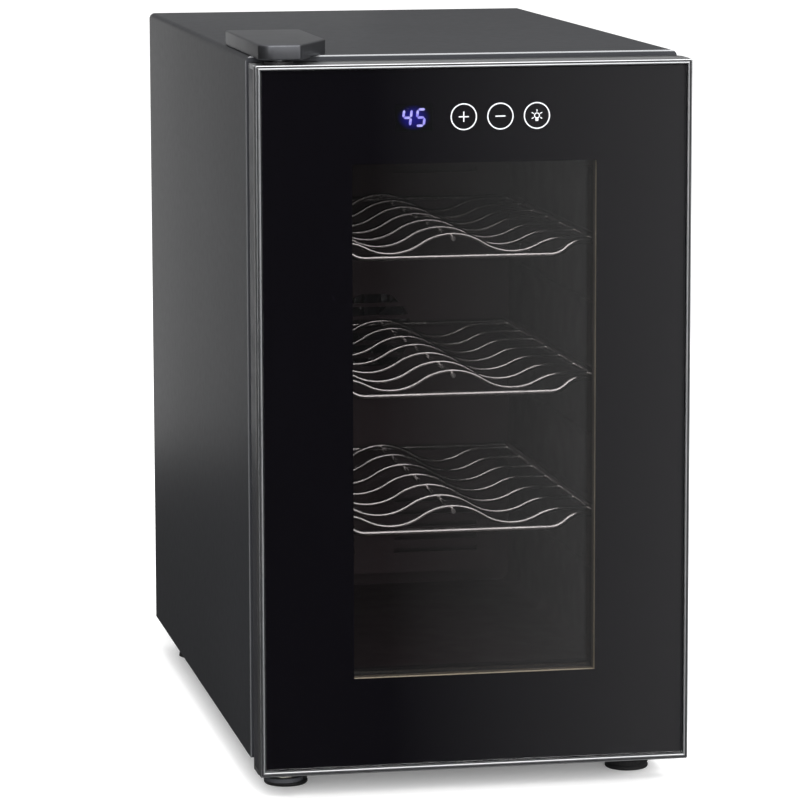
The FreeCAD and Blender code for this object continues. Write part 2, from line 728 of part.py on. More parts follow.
def make_top_hinge_plate():
    plate = outline_solid(cover_outline(cover_wall + 1), cabinet_top, hinge_sheet)
    corner = [e for e in plate.Edges if abs(e.tangentAt(e.FirstParameter).z) > 0.99
              and e.CenterOfMass.x < hinge_x and e.CenterOfMass.y < hinge_y]
    plate = plate.makeFillet(cover_corner - cover_wall - 1, corner)
    plate = plate.cut(rod(V(hinge_x, hinge_y, cabinet_top), Z_AXIS, hinge_sheet, pin_diameter))
    for point in upper_hinge_screws():
        plate = plate.cut(rod(V(point.x, point.y, cabinet_top), Z_AXIS, hinge_sheet, screw_shank))
    return plate


def make_top_hinge_pin():
    low = door_top - bushing_length + 1
    shank = rod(V(hinge_x, hinge_y, low), Z_AXIS, cabinet_top + hinge_sheet - low, pin_diameter)
    head = rod(V(hinge_x, hinge_y, cabinet_top + hinge_sheet), Z_AXIS, 2, pin_diameter + 4)
    return shank.fuse(head)


def make_bottom_hinge_plate():
    low = door_bottom - washer_height - hinge_sheet
    web_y = cabinet_front + 3
    tongue = rod(V(hinge_x, hinge_y, low), Z_AXIS, hinge_sheet, tongue_width)
    arm = block(hinge_x - tongue_width / 2, hinge_x + tongue_width / 2, hinge_y, web_y + hinge_sheet,
                low, low + hinge_sheet)
    web = block(hinge_x - tongue_width / 2, hinge_x + tongue_width / 2, web_y, web_y + hinge_sheet,
                low, cabinet_bottom)
    foot = block(hinge_x - tongue_width / 2, -foot_x + 34, web_y, foot_y + 24,
                 cabinet_bottom - hinge_sheet, cabinet_bottom)
    plate = fused([tongue, arm, web, foot])
    plate = plate.cut(rod(V(hinge_x, hinge_y, low), Z_AXIS, hinge_sheet, lower_pin_diameter))
    plate = plate.cut(rod(V(-foot_x, foot_y, cabinet_bottom - hinge_sheet), Z_AXIS, hinge_sheet, foot_stud + 2))
    for point in lower_hinge_screws():
        plate = plate.cut(rod(point, Z_AXIS, hinge_sheet, screw_shank))
    return plate


def make_bottom_hinge_pin():
    low = door_bottom - washer_height - hinge_sheet
    length = washer_height + hinge_sheet + bushing_length - 1
    shank = rod(V(hinge_x, hinge_y, low), Z_AXIS, length, lower_pin_diameter)
    head = rod(V(hinge_x, hinge_y, low - 1.5), Z_AXIS, 1.5, lower_pin_diameter + 4)
    return shank.fuse(head)


def make_thrust_washer():
    low = door_bottom - washer_height
    washer = rod(V(hinge_x, hinge_y, low), Z_AXIS, washer_height - bushing_flange - 0.3, 14)
    return washer.cut(rod(V(hinge_x, hinge_y, low), Z_AXIS, washer_height, lower_pin_diameter))


def make_hinge_screws():
    screws = [screw(point, Z_AXIS.negative(), 10) for point in upper_hinge_screws()]
    screws += [screw(point, Z_AXIS, 10) for point in lower_hinge_screws()]
    return Part.makeCompound(screws)


def make_bushing(pin, face_z, direction):
    """A flanged plastic bushing; the flange stands on the face and the sleeve goes along the direction."""
    outside = pin + 2 * bushing_wall
    centre = V(hinge_x, hinge_y, face_z)
    sleeve = rod(centre, direction, bushing_length, outside)
    flange = rod(centre, direction.negative(), bushing_flange, outside + 4)
    bore = rod(centre - direction * bushing_flange, direction,
               bushing_length + bushing_flange, pin + 2 * pin_clearance)
    return sleeve.fuse(flange).cut(bore)


# ---- feet ----------------------------------------------------------------------------------
def make_front_foot(place):
    stud_top = cabinet_bottom + 12
    tread = rod(place, Z_AXIS, foot_tread, foot_diameter)
    rim = [e for e in tread.Edges if e.Closed and e.valueAt(0).z > 1]
    tread = tread.makeFillet(1.5, rim)
    collar = Part.makeCone(foot_diameter * 0.4, foot_diameter * 0.33, 5, V(place.x, place.y, foot_tread))
    stud = rod(V(place.x, place.y, foot_tread), Z_AXIS, stud_top - foot_tread, foot_stud)
    return fused([tread, collar, stud])


def make_foot_nuts():
    nuts = []
    for place in foot_places():
        across = foot_stud * 1.6
        corners = [(place.x + across / math.sqrt(3) * math.cos(math.radians(60 * i)),
                    place.y + across / math.sqrt(3) * math.sin(math.radians(60 * i))) for i in range(6)]
        nut = outline_solid(corners, cabinet_bottom + sheet, 6.5)
        nuts.append(nut.cut(rod(V(place.x, place.y, cabinet_bottom), Z_AXIS, 20, foot_stud + 2 * foot_clearance)))
    return Part.makeCompound(nuts)


def make_rear_feet():
    feet = []
    for place in rear_foot_places():
        body = Part.makeCone(foot_diameter / 2, foot_diameter / 2 - 3, cabinet_bottom, place)
        peg = rod(place, Z_AXIS, cabinet_bottom + 6, screw_shank)
        feet.append(body.fuse(peg))
    return Part.makeCompound(feet)


# ---- door ----------------------------------------------------------------------------------
def door_ring(inset, width, y0, y1):
    """A rectangular ring inside the outline of the door."""
    outer = (-half_width + inset, half_width - inset, y0, y1, door_bottom + inset, door_top - inset)
    within = inset + width
    inner = (-half_width + within, half_width - within, y0, y1, door_bottom + within, door_top - within)
    return ring_block(outer, inner)


def window_block(margin, y0, y1):
    """The clear window enlarged by a margin."""
    return block(-window_half_width - margin, window_half_width + margin, y0, y1,
                 window_low - margin, window_high + margin)


def pane_block(margin, y0, y1):
    """The inner pane enlarged by a margin."""
    return block(-pane_half_width - margin, pane_half_width + margin, y0, y1,
                 pane_bottom - margin, pane_top + margin)


def round_rear_corners(body, radius):
    """Rounds the upright outer edges at the back of the door."""
    edges = [e for e in body.Edges if abs(e.tangentAt(e.FirstParameter).z) > 0.99
             and e.CenterOfMass.y > door_back - 0.01 and abs(e.CenterOfMass.x) > half_width - 0.01]
    return body.makeFillet(radius, edges)


def make_door_trim():
    body = door_ring(0, trim_width, door_front, door_front + trim_depth)
    groove = door_ring(trim_groove, trim_groove, door_front, door_front + trim_groove)
    corners = [e for e in body.Edges if abs(e.tangentAt(e.FirstParameter).y) > 0.99
               and abs(e.CenterOfMass.x) > half_width - 0.01]
    return body.makeFillet(1.2, corners).cut(groove)


def glass_block(y0, y1):
    """The space inside the trim."""
    inset = trim_width + glass_clearance
    return block(-half_width + inset, half_width - inset, y0, y1, door_bottom + inset, door_top - inset)


def make_door_glass():
    glass = glass_block(glass_front, glass_back)
    rim = [e for e in glass.Edges if e.CenterOfMass.y < glass_front + 0.01]
    return glass.makeChamfer(0.5, rim)


def make_door_mask():
    front = glass_back + print_thickness
    mask = glass_block(front, mask_back).cut(window_block(0, front, mask_back))
    return mask.cut(display_block(0.1, front, mask_back))


def display_block(margin, y0, y1):
    """The window of the display enlarged by a margin."""
    half_w = digit_pitch + 3 + margin
    half_h = digit_height / 2 + 2.5 + margin
    return block(display_x - half_w, display_x + half_w, y0, y1, control_z - half_h, control_z + half_h)


def segment(x0, z0, x1, z1):
    """One lit bar of a digit with pointed ends, from one corner of the digit to another."""
    half = segment_width / 2
    length = math.hypot(x1 - x0, z1 - z0)
    ux = (x1 - x0) / length
    uz = (z1 - z0) / length
    start = segment_gap
    ends = [(start, 0), (start + half, half), (length - start - half, half),
            (length - start, 0), (length - start - half, -half), (start + half, -half)]
    points = []
    for along, across in ends:
        x = x0 + ux * along - uz * across
        z = z0 + uz * along + ux * across
        points.append(V(x + digit_slant * (z - control_z), glass_back, z))
    face = Part.Face(Part.makePolygon(points + points[:1]))
    return face.extrude(V(0, print_thickness, 0))


def digit(centre_x, lit):
    """The lit bars of one digit; the letters are the usual names of the seven bars."""
    left = centre_x - digit_width / 2 + segment_width / 2
    right = centre_x + digit_width / 2 - segment_width / 2
    low = control_z - digit_height / 2 + segment_width / 2
    high = control_z + digit_height / 2 - segment_width / 2
    bars = {"a": (left, high, right, high), "b": (right, control_z, right, high),
            "c": (right, low, right, control_z), "d": (left, low, right, low),
            "e": (left, low, left, control_z), "f": (left, control_z, left, high),
            "g": (left, control_z, right, control_z)}
    return [segment(*bars[name]) for name in lit]


def make_display_digits():
    tens = digit(display_x - digit_pitch / 2, "bcfg")
    units = digit(display_x + digit_pitch / 2, "acdfg")
    return Part.makeCompound(tens + units)


def make_control_symbols():
    """Printed rings with plus, minus and lamp signs."""
    marks = []
    y0 = glass_back
    depth = print_thickness
    for i in range(3):
        centre = V(first_key_x + i * key_spacing, y0, control_z)
        ring = rod(centre, Y_AXIS, depth, key_ring)
        marks.append(ring.cut(rod(centre, Y_AXIS, depth, key_ring - 2 * symbol_line)))
    arm = key_ring * 0.19
    half = symbol_line / 2
    plus_x = first_key_x
    bar = block(plus_x - arm, plus_x + arm, y0, y0 + depth, control_z - half, control_z + half)
    post = block(plus_x - half, plus_x + half, y0, y0 + depth, control_z - arm, control_z + arm)
    marks.append(bar.fuse(post).removeSplitter())
    minus_x = first_key_x + key_spacing
    marks.append(block(minus_x - arm, minus_x + arm, y0, y0 + depth, control_z - half, control_z + half))
    lamp_x = first_key_x + 2 * key_spacing
    bulb = rod(V(lamp_x, y0, control_z), Y_AXIS, depth, 3.6)
    bulb = bulb.cut(rod(V(lamp_x, y0, control_z), Y_AXIS, depth, 3.6 - 1.6 * symbol_line))
    base = block(lamp_x - 0.9, lamp_x + 0.9, y0, y0 + depth, control_z - 3.4, control_z - 1.5)
    marks.append(bulb.fuse(base).removeSplitter())
    for i in range(5):
        ray = block(lamp_x - half * 0.8, lamp_x + half * 0.8, y0, y0 + depth, control_z + 2.3, control_z + 3.8)
        marks.append(ray.rotate(V(lamp_x, y0, control_z), Y_AXIS, 60 * (i - 2)))
    return Part.makeCompound(marks)


def board_y():
    """Front of the touch board."""
    return mask_back + pad_length


def make_touch_board():
    return block(first_key_x - 50, first_key_x + 62, board_y(), board_y() + board_thickness,
                 control_z - 11.5, control_z + 11.5)


def make_touch_pads():
    pads = [rod(V(first_key_x + i * key_spacing, mask_back, control_z), Y_AXIS, pad_length, 13) for i in range(3)]
    return Part.makeCompound(pads)


def make_display_module():
    return display_block(0, glass_back + print_thickness, board_y())


def control_cavity():
    """Room in the door for the touch board and what stands on it."""
    return block(first_key_x - 52, first_key_x + 64, mask_back, board_y() + 6,
                 control_z - 12, control_z + 13)


def channel(wall):
    """The hollow inside the door frame, which is open to the front."""
    inset = trim_width + frame_wall + wall
    outer = block(-half_width + inset, half_width - inset, mask_back, door_back - frame_wall - wall,
                  door_bottom + inset, door_top - inset)
    hollow = outer.cut(pane_block(pane_clearance + frame_wall + wall, mask_back, door_back))
    boss = hinge_inset + 12
    for z0, z1 in ((door_bottom, door_bottom + bushing_length + 6), (door_top - bushing_length - 6, door_top)):
        hollow = hollow.cut(block(-half_width, -half_width + boss, mask_back, door_back, z0, z1))
    return hollow.cut(grip_block(frame_wall))


def grip_block(margin):
    """The finger grip in the right side of the door, enlarged by a margin."""
    y0 = door_front + trim_depth + grip_setback
    z0 = door_bottom + grip_height - grip_length / 2
    return rounded_block(half_width - grip_depth - margin, half_width + grip_depth, y0 - margin,
                         y0 + grip_width + margin, z0 - margin, z0 + grip_length + margin,
                         grip_width / 3, X_AXIS)


def make_door_frame():
    body = block(-half_width, half_width, mask_back, door_back, door_bottom + door_cap, door_top - door_cap)
    body = round_rear_corners(body, door_rear_corner)
    body = body.cut(door_ring(0, trim_width, mask_back, door_front + trim_depth))
    body = body.cut(pane_block(pane_clearance, mask_back, door_back))
    body = body.cut(channel(0))
    body = body.cut(grip_block(0))
    for pin, z0 in ((pin_diameter, door_top - bushing_length), (lower_pin_diameter, door_bottom)):
        body = body.cut(rod(V(hinge_x, hinge_y, z0), Z_AXIS, bushing_length, pin + 2 * bushing_wall))
    return body.removeSplitter()


def make_door_foam():
    return channel(0).cut(control_cavity())


def make_door_cap(z0, pin):
    cap = block(-half_width, half_width, door_front + trim_depth, door_back, z0, z0 + door_cap)
    cap = round_rear_corners(cap, door_rear_corner)
    return cap.cut(rod(V(hinge_x, hinge_y, z0), Z_AXIS, door_cap, pin + 2 * bushing_wall))


def make_glazing_spacer():
    return window_block(0.6 + spacer_width, mask_back, pane_front).cut(window_block(0.6, mask_back, pane_front))


def make_inner_glass():
    return pane_block(0, pane_front, pane_back)


def make_glazing_retainer():
    body = pane_block(pane_clearance - 0.3, pane_back, door_back)
    opening = block(-window_half_width - retainer_margin, window_half_width + retainer_margin,
                    pane_back, door_back, window_low + retainer_sill, window_high + retainer_margin)
    body = body.cut(opening)
    rim = [e for e in body.Edges if e.CenterOfMass.y > door_back - 0.01
           and abs(e.CenterOfMass.x) < window_half_width + retainer_margin + 1
           and window_low < e.CenterOfMass.z < window_high + retainer_margin + 1]
    return body.makeChamfer(5, rim)


def make_door_gasket():
    back = cabinet_front - gasket_clearance
    near = gasket_margin
    far = gasket_margin + gasket_width
    outer = rounded_block(-liner_half_width - far, liner_half_width + far, door_back, back,
                          liner_floor - far, liner_ceiling + far, 8, Y_AXIS)
    inner = rounded_block(-liner_half_width - near, liner_half_width + near, door_back, back,
                          liner_floor - near, liner_ceiling + near, 4, Y_AXIS)
    ring = outer.cut(inner)
    rim = [e for e in ring.Edges if e.CenterOfMass.y > back - 0.01]
    return ring.makeFillet(2, rim)


# ---- write every node ----------------------------------------------------------------------
def write(name, shape):
    """Writes one node."""
    shape.exportStep("parts/" + name + ".step")


os.makedirs("parts", exist_ok=True)

write("cabinet_wrap", make_cabinet_wrap())
write("base_plate", make_base_plate())
write("rear_panel", make_rear_panel())
write("rear_bulkhead", make_bulkhead())
write("inner_liner", make_liner())
write("foam_insulation", make_foam())
for rack_name, rack_z in zip(("shelf_bottom", "shelf_middle", "shelf_top"), rack_heights()):
    write(rack_name, make_rack(rack_z))
write("light_lens", make_light_lens())
write("light_board", make_light_board())
write("temperature_sensor", make_sensor())
write("duct_cover", make_duct_cover())
write("rear_panel_screws", make_rear_screws())
write("wall_spacers", make_wall_spacers())

# cooling stack, from the compartment to the rear
block_back = bulkhead_front + sheet - module_thickness
sink_plate = 4.0
cold_fin_front = duct_front + duct_wall + inner_fan_depth
inner_fan_y = duct_front + duct_wall + 0.5
write("inner_fan_frame", fan_frame(inner_fan_size, inner_fan_depth, inner_fan_y, 24))
write("inner_fan_rotor", fan_rotor(inner_fan_size, inner_fan_depth, inner_fan_y, 22, 7))
write("cold_sink", finned_sink(cold_sink_size, liner_back - sink_plate, liner_back,
                               cold_fin_front + 1, liner_back - sink_plate, cold_sink_fins))
write("cold_block", cube_at_stack(block_size, liner_back, block_back))
write("thermoelectric_module", cube_at_stack(module_size, block_back, bulkhead_front + sheet))
hot_base_back = bulkhead_front + sheet + hot_sink_base
hot_sink_back = bulkhead_front + sheet + hot_sink_depth
write("hot_sink", finned_sink(hot_sink_size, bulkhead_front + sheet, hot_base_back,
                              hot_base_back, hot_sink_back, hot_sink_fins))
write("rear_fan_frame", fan_frame(rear_fan_size, rear_fan_depth, hot_sink_back, 38))
write("rear_fan_rotor", fan_rotor(rear_fan_size, rear_fan_depth, hot_sink_back, 36, 9))
write("rear_fan_guard", make_fan_guard())

write("power_board", make_power_board())
write("board_standoffs", make_standoffs())
write("transformer", make_transformer())
write("capacitors", make_capacitors())
write("power_inlet", make_power_inlet())

write("top_hinge_plate", make_top_hinge_plate())
write("top_hinge_pin", make_top_hinge_pin())
write("top_hinge_cover", make_top_hinge_cover())
write("bottom_hinge_plate", make_bottom_hinge_plate())
write("bottom_hinge_pin", make_bottom_hinge_pin())
write("thrust_washer", make_thrust_washer())
write("hinge_screws", make_hinge_screws())

left_foot, right_foot = foot_places()
write("front_left_foot", make_front_foot(left_foot))
write("front_right_foot", make_front_foot(right_foot))
write("foot_nuts", make_foot_nuts())
write("rear_feet", make_rear_feet())

write("door_trim", make_door_trim())
write("door_glass", make_door_glass())
write("door_mask", make_door_mask())
write("control_symbols", make_control_symbols())
write("display_digits", make_display_digits())
write("display_module", make_display_module())
write("touch_board", make_touch_board())
write("touch_pads", make_touch_pads())
write("glazing_spacer", make_glazing_spacer())
write("inner_glass", make_inner_glass())
write("glazing_retainer", make_glazing_retainer())
write("door_frame", make_door_frame())
write("door_insulation", make_door_foam())
write("door_top_cap", make_door_cap(door_top - door_cap, pin_diameter))
write("door_bottom_cap", make_door_cap(door_bottom, lower_pin_diameter))
write("door_gasket", make_door_gasket())
write("top_bushing", make_bushing(pin_diameter, door_top, Z_AXIS.negative()))
write("bottom_bushing", make_bushing(lower_pin_diameter, door_bottom, Z_AXIS))
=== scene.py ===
# %% [markdown]
# # A small wine cooler with a glass door
# The cooler's engineering model is already made: every sheet, pane, wire and screw is a solid of
# the right size. This lesson gives it its looks. Blender places nothing by eye: each new piece
# takes its place from the box of the solid it belongs to, so it fits at every door angle.

import math

import bmesh
import bpy
from mathutils import Matrix, Vector


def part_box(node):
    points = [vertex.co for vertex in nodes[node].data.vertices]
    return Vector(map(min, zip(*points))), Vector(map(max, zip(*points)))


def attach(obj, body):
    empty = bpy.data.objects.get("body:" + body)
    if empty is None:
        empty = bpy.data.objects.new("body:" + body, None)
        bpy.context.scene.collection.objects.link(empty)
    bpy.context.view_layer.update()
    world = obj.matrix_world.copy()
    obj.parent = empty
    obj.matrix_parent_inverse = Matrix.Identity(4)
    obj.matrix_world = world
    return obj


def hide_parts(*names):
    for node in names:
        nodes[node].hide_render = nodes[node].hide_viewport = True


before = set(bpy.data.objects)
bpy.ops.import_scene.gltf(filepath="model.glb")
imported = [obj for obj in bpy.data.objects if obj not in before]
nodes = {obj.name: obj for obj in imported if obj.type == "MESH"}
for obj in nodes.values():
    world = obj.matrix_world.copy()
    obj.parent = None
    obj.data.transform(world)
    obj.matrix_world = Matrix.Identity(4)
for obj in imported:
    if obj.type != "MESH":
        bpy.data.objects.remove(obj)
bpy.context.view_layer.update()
scene = bpy.context.scene
MM = 0.001

# %% [markdown]
# ## The camera
# The view comes from the left and a little above, from far away with a long lens, so upright
# edges stay nearly parallel. The turn is given as two directions, which is easier to read than
# three angles: where the lens points, and which way is right.

# %% Camera
camera_data = bpy.data.cameras.new("camera")
camera_data.sensor_width = 36.0
camera_data.lens = 192.84
camera = bpy.data.objects.new("camera", camera_data)
scene.collection.objects.link(camera)
forward = Vector((0.18319519, 0.97171299, -0.14904159)).normalized()
right = Vector((0.98261263, -0.18564926, -0.00260258)).normalized()
turn = Matrix((right, right.cross(forward), -forward)).transposed().to_4x4()
camera.matrix_world = Matrix.Translation((-0.53533, -2.83773, 0.65061)) @ turn
scene.camera = camera
print("camera looks along", [round(v, 3) for v in forward])

# %% [markdown]
# ## Tools for materials
# A material is a small graph. One function makes a node, sets its values and plugs other nodes
# into it, so a whole finish reads as a list. Colours are written as screen colours, because they
# are easy to judge, and turned to the linear light values that a shader needs.

# %% Material tools
def linear(code):
    """A screen colour such as 8a8c90 as linear red, green, blue and alpha."""
    parts = [int(code[i:i + 2], 16) / 255 for i in (0, 2, 4)]
    return [c / 12.92 if c <= 0.04045 else ((c + 0.055) / 1.055) ** 2.4 for c in parts] + [1.0]


def add(tree, kind, values=None, **settings):
    """One node. values sets or links inputs by name or place; settings are the node's own choices."""
    node = tree.nodes.new(kind)
    for name, value in settings.items():
        setattr(node, name, value)
    for key, value in (values or {}).items():
        socket = node.inputs[key]
        if isinstance(value, bpy.types.NodeSocket):
            tree.links.new(value, socket)
        else:
            socket.default_value = value
    return node


def blank(name):
    """An empty material with its output, and the coordinates of the object in metres."""
    made = bpy.data.materials.new(name)
    made.use_nodes = True
    tree = made.node_tree
    tree.nodes.clear()
    place = add(tree, "ShaderNodeTexCoord").outputs["Object"]
    output = add(tree, "ShaderNodeOutputMaterial")
    return made, tree, place, output


def noise(tree, place, size_mm, detail=3.0, stretch=(1, 1, 1)):
    """Soft random patches of a real size; stretch below 1 draws them out along that axis."""
    mapped = add(tree, "ShaderNodeMapping", {"Vector": place, "Scale": stretch}).outputs[0]
    return add(tree, "ShaderNodeTexNoise",
               {"Vector": mapped, "Scale": 1 / (size_mm * MM), "Detail": detail}).outputs["Fac"]


def spread(tree, factor, low, high, start=0.3, stop=0.7):
    """A value that runs from low to high while factor runs from start to stop."""
    return add(tree, "ShaderNodeMapRange", {"Value": factor, "From Min": start, "From Max": stop,
                                            "To Min": low, "To Max": high}).outputs["Result"]


def tint(tree, factor, low, high, start=0.3, stop=0.7):
    """A colour between two screen colours."""
    ramp = add(tree, "ShaderNodeValToRGB", {"Fac": factor})
    for stop_point, at, code in zip(ramp.color_ramp.elements, (start, stop), (low, high)):
        stop_point.position = at
        stop_point.color = linear(code)
    return ramp.outputs["Color"]


def bumps(tree, height, depth_mm, under=None):
    """Relief of a real depth; under is the relief it lies on."""
    values = {"Height": height, "Distance": depth_mm * MM, "Strength": 1.0}
    if under is not None:
        values["Normal"] = under
    return add(tree, "ShaderNodeBump", values).outputs["Normal"]


materials = {}
print("material tools ready")

# %% [markdown]
# ## Powder-coated steel
# The wrap, the rear panel and the lower hinge are steel sheet, sprayed with dark grey powder and
# baked. Baked powder leaves a faint orange peel about 1.5 mm across and a fine grit. Both are
# drawn as relief, so the satin highlight breaks up, and the colour itself hardly changes. Along
# the top and left edges of the front fold, a thin light line is a painted highlight, where a rounded
# fold would catch the light.

# %% Powder-coated steel
def powder_coat(name, low, high, rough_low, rough_high, peel_mm, peel_depth_mm):
    """Sprayed and baked powder: orange peel, grit, and a painted highlight along the front fold."""
    made, tree, place, output = blank(name)
    peel = noise(tree, place, peel_mm, 2.0)
    grit = noise(tree, place, 0.35, 2.0)
    relief = bumps(tree, grit, 0.25 * peel_depth_mm, bumps(tree, peel, peel_depth_mm))
    colour = tint(tree, noise(tree, place, 90.0, 3.0), low, high)
    at = add(tree, "ShaderNodeSeparateXYZ", {0: place}).outputs
    # Three masks in Object coordinates: the front fold, and on it the top and the left side.
    fold = spread(tree, at["Y"], 1.0, 0.0, wrap_low.y + 0.6 * MM, wrap_low.y + 0.9 * MM)
    top = spread(tree, at["Z"], 0.0, 1.0, wrap_high.z - 1.0 * MM, wrap_high.z - 0.6 * MM)
    side = spread(tree, at["X"], 0.25, 0.0, wrap_low.x + 0.4 * MM, wrap_low.x + 0.8 * MM)
    edge = add(tree, "ShaderNodeMath", {0: top, 1: side}, operation="MAXIMUM").outputs[0]
    # Painted highlight: the top and left edges of the front fold turn light steel-grey, where a rounded
    # fold would catch the light.
    painted_highlight_mask = add(tree, "ShaderNodeMath", {0: fold, 1: edge}, operation="MULTIPLY").outputs[0]
    highlighted_colour = add(tree, "ShaderNodeMix", {0: painted_highlight_mask, 6: colour, 7: linear(fold_highlight_colour)},
               data_type="RGBA").outputs[2]
    shader = add(tree, "ShaderNodeBsdfPrincipled", {
        "Base Color": highlighted_colour,
        "Roughness": spread(tree, noise(tree, place, 6.0, 4.0), rough_low, rough_high),
        "Normal": relief, "IOR": 1.5, "Specular IOR Level": 0.3})
    tree.links.new(shader.outputs[0], output.inputs["Surface"])
    materials[name] = made
    return made


wrap_low, wrap_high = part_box("cabinet_wrap")
# The colour of the painted highlight on the front fold.
fold_highlight_colour = "8c8d8f"
# Polyester powder, sprayed and baked: a soft satin highlight that breaks up slightly.
powder_coat("powder_coated_steel", "242528", "27282b", 0.43, 0.46, 1.6, 0.02)
print("finishes so far:", sorted(materials))

# %% [markdown]
# ## Moulded plastics
# Liner, fan housings and door frame are moulded ABS. A spark-eroded mould leaves an even grain
# about half a millimetre across that keeps fingerprints from showing. Cells of a Voronoi pattern
# look like that grain; a slow noise over them stands for uneven gloss.

# %% Moulded plastics
def moulded(name, low, high, rough_low, rough_high, grain_mm, depth_mm, ior=1.5):
    """Injection-moulded plastic with an eroded grain."""
    made, tree, place, output = blank(name)
    grain = add(tree, "ShaderNodeTexVoronoi",
                {"Vector": place, "Scale": 1 / (grain_mm * MM)}).outputs["Distance"]
    shader = add(tree, "ShaderNodeBsdfPrincipled", {
        "Base Color": tint(tree, noise(tree, place, 60.0), low, high),
        "Roughness": spread(tree, noise(tree, place, 18.0, 4.0), rough_low, rough_high),
        "Normal": bumps(tree, grain, depth_mm), "IOR": ior})
    tree.links.new(shader.outputs[0], output.inputs["Surface"])
    materials[name] = made
    return made


# Vacuum-formed ABS, faintly warm: it keeps the compartment dim without going flat.
moulded("abs_liner_grained", "241e20", "2b2527", 0.34, 0.44, 0.9, 0.03)
# Injection-moulded ABS: the ordinary black of housings and fan blades, and a satin door frame.
moulded("abs_black_moulded", "141415", "1b1b1d", 0.40, 0.52, 0.6, 0.02)
moulded("abs_door_frame_satin", "26262a", "2c2c30", 0.36, 0.44, 0.6, 0.02)
# Moulded nylon, left uncoloured: waxy and a little yellow. The black one is for bushings.
moulded("nylon_natural", "c3bfb2", "d2cec2", 0.38, 0.50, 0.8, 0.02, 1.53)
moulded("nylon_black", "161617", "1e1e20", 0.38, 0.50, 0.8, 0.02, 1.53)
# Compression-moulded rubber is the dullest surface here, so the feet look soft and heavy.
moulded("rubber_moulded", "101011", "19191a", 0.55, 0.72, 0.5, 0.03, 1.52)
# Extruded grey vinyl, a little greasy in its shine.
moulded("vinyl_gasket", "5a5a5c", "646466", 0.46, 0.60, 0.7, 0.02, 1.53)
# Spacer bar between the panes, roll-formed and coated beige: the pale line round the window.
moulded("edge_spacer_beige", "948876", "a29582", 0.42, 0.55, 1.0, 0.02)
# Shrunk sleeve, wound tape and fired alumina: glossy blue, amber and white behind the air slots.
moulded("capacitor_sleeve_shrunk", "14182c", "1b2038", 0.22, 0.34, 2.0, 0.03)
moulded("winding_tape_polyester", "a8760f", "c49222", 0.26, 0.38, 1.5, 0.03)
moulded("alumina_ceramic_plate", "cfcbc4", "dedad4", 0.34, 0.46, 0.8, 0.01, 1.7)
print("finishes so far:", len(materials))

# %% [markdown]
# ## Metals
# Bright parts are anodised aluminium, chrome-plated wire, zinc-plated steel and plain steel
# screws. Drawn or rolled metal has fine lines along its length, so its noise is stretched along
# one axis. Chrome is almost a mirror, with only slow ripples from the wire under the plating.

# %% Metals
def metal(name, low, high, rough_low, rough_high, line_mm, stretch, depth_mm, cloud_mm=25.0):
    """Metal with drawn-out lines and uneven polish."""
    made, tree, place, output = blank(name)
    lines = noise(tree, place, line_mm, 3.0, stretch)
    shader = add(tree, "ShaderNodeBsdfPrincipled", {
        "Base Color": tint(tree, noise(tree, place, cloud_mm), low, high),
        "Roughness": spread(tree, lines, rough_low, rough_high),
        "Normal": bumps(tree, lines, depth_mm), "Metallic": 1.0})
    tree.links.new(shader.outputs[0], output.inputs["Surface"])
    materials[name] = made
    return made


# Sprayed metallic lacquer over plastic: fine flakes, bright only where it faces the light.
metal("metallic_grey_lacquer", "707175", "7a7b7f", 0.36, 0.44, 0.35, (1, 1, 1), 0.01)
# Drawn and anodised strip, lined along its length: a crisp, cool line round the door.
metal("anodised_aluminium_trim", "c2c4c6", "cfd0d1", 0.26, 0.36, 0.25, (1, 1, 0.03), 0.003)
metal("anodised_aluminium_caps", "b9bbbd", "c9cacb", 0.30, 0.40, 0.25, (0.03, 1, 1), 0.003)
# Plain extrusion for the sinks: duller, with die lines along the fins.
metal("extruded_aluminium", "a9abad", "bfc0c1", 0.30, 0.42, 0.3, (1, 1, 0.04), 0.006)
# Drawn wire, bent and chrome-plated: thin bright highlights with slow ripples.
metal("chrome_plated_wire", "c8c6c4", "d4d2d0", 0.14, 0.22, 3.0, (1, 0.2, 1), 0.006)
# Rolled sheet, zinc-plated: cloudy grey patches. Screws and guards are turned or drawn steel.
metal("zinc_plated_steel", "8f9294", "a6a9ab", 0.30, 0.46, 0.8, (0.1, 1, 1), 0.006, 6.0)
metal("bright_steel_fastener", "96989b", "b2b4b6", 0.22, 0.36, 0.4, (1, 1, 1), 0.006, 4.0)
print("finishes so far:", len(materials))

# %% [markdown]
# ## Glass
# Both panes are tempered float glass. Lamplight has to reach the compartment through them, so a
# Light Path node turns the glass clear for shadow rays: without it the inside would be black.
# A faint smear pattern in the roughness keeps the highlights from being too perfect.

# %% Glass
def glass(name, code, rough_low, rough_high):
    """Tempered float glass that lets lamplight through."""
    made, tree, place, output = blank(name)
    shader = add(tree, "ShaderNodeBsdfPrincipled", {
        "Base Color": linear(code), "Transmission Weight": 1.0, "IOR": 1.5,
        "Roughness": spread(tree, noise(tree, place, 60.0, 5.0), rough_low, rough_high)})
    open_shader = add(tree, "ShaderNodeBsdfTransparent", {"Color": linear(code)})
    shadow = add(tree, "ShaderNodeLightPath").outputs["Is Shadow Ray"]
    mix = add(tree, "ShaderNodeMixShader", {0: shadow, 1: shader.outputs[0], 2: open_shader.outputs[0]})
    tree.links.new(mix.outputs[0], output.inputs["Surface"])
    materials[name] = made
    return made


# Float glass, heat-tempered: the outer pane is nearly clear, the inner one dims a little more.
glass("tempered_float_glass", "f6f7f7", 0.0, 0.012)
glass("tempered_float_glass_inner", "eae6e7", 0.0, 0.02)
print("finishes so far:", len(materials))
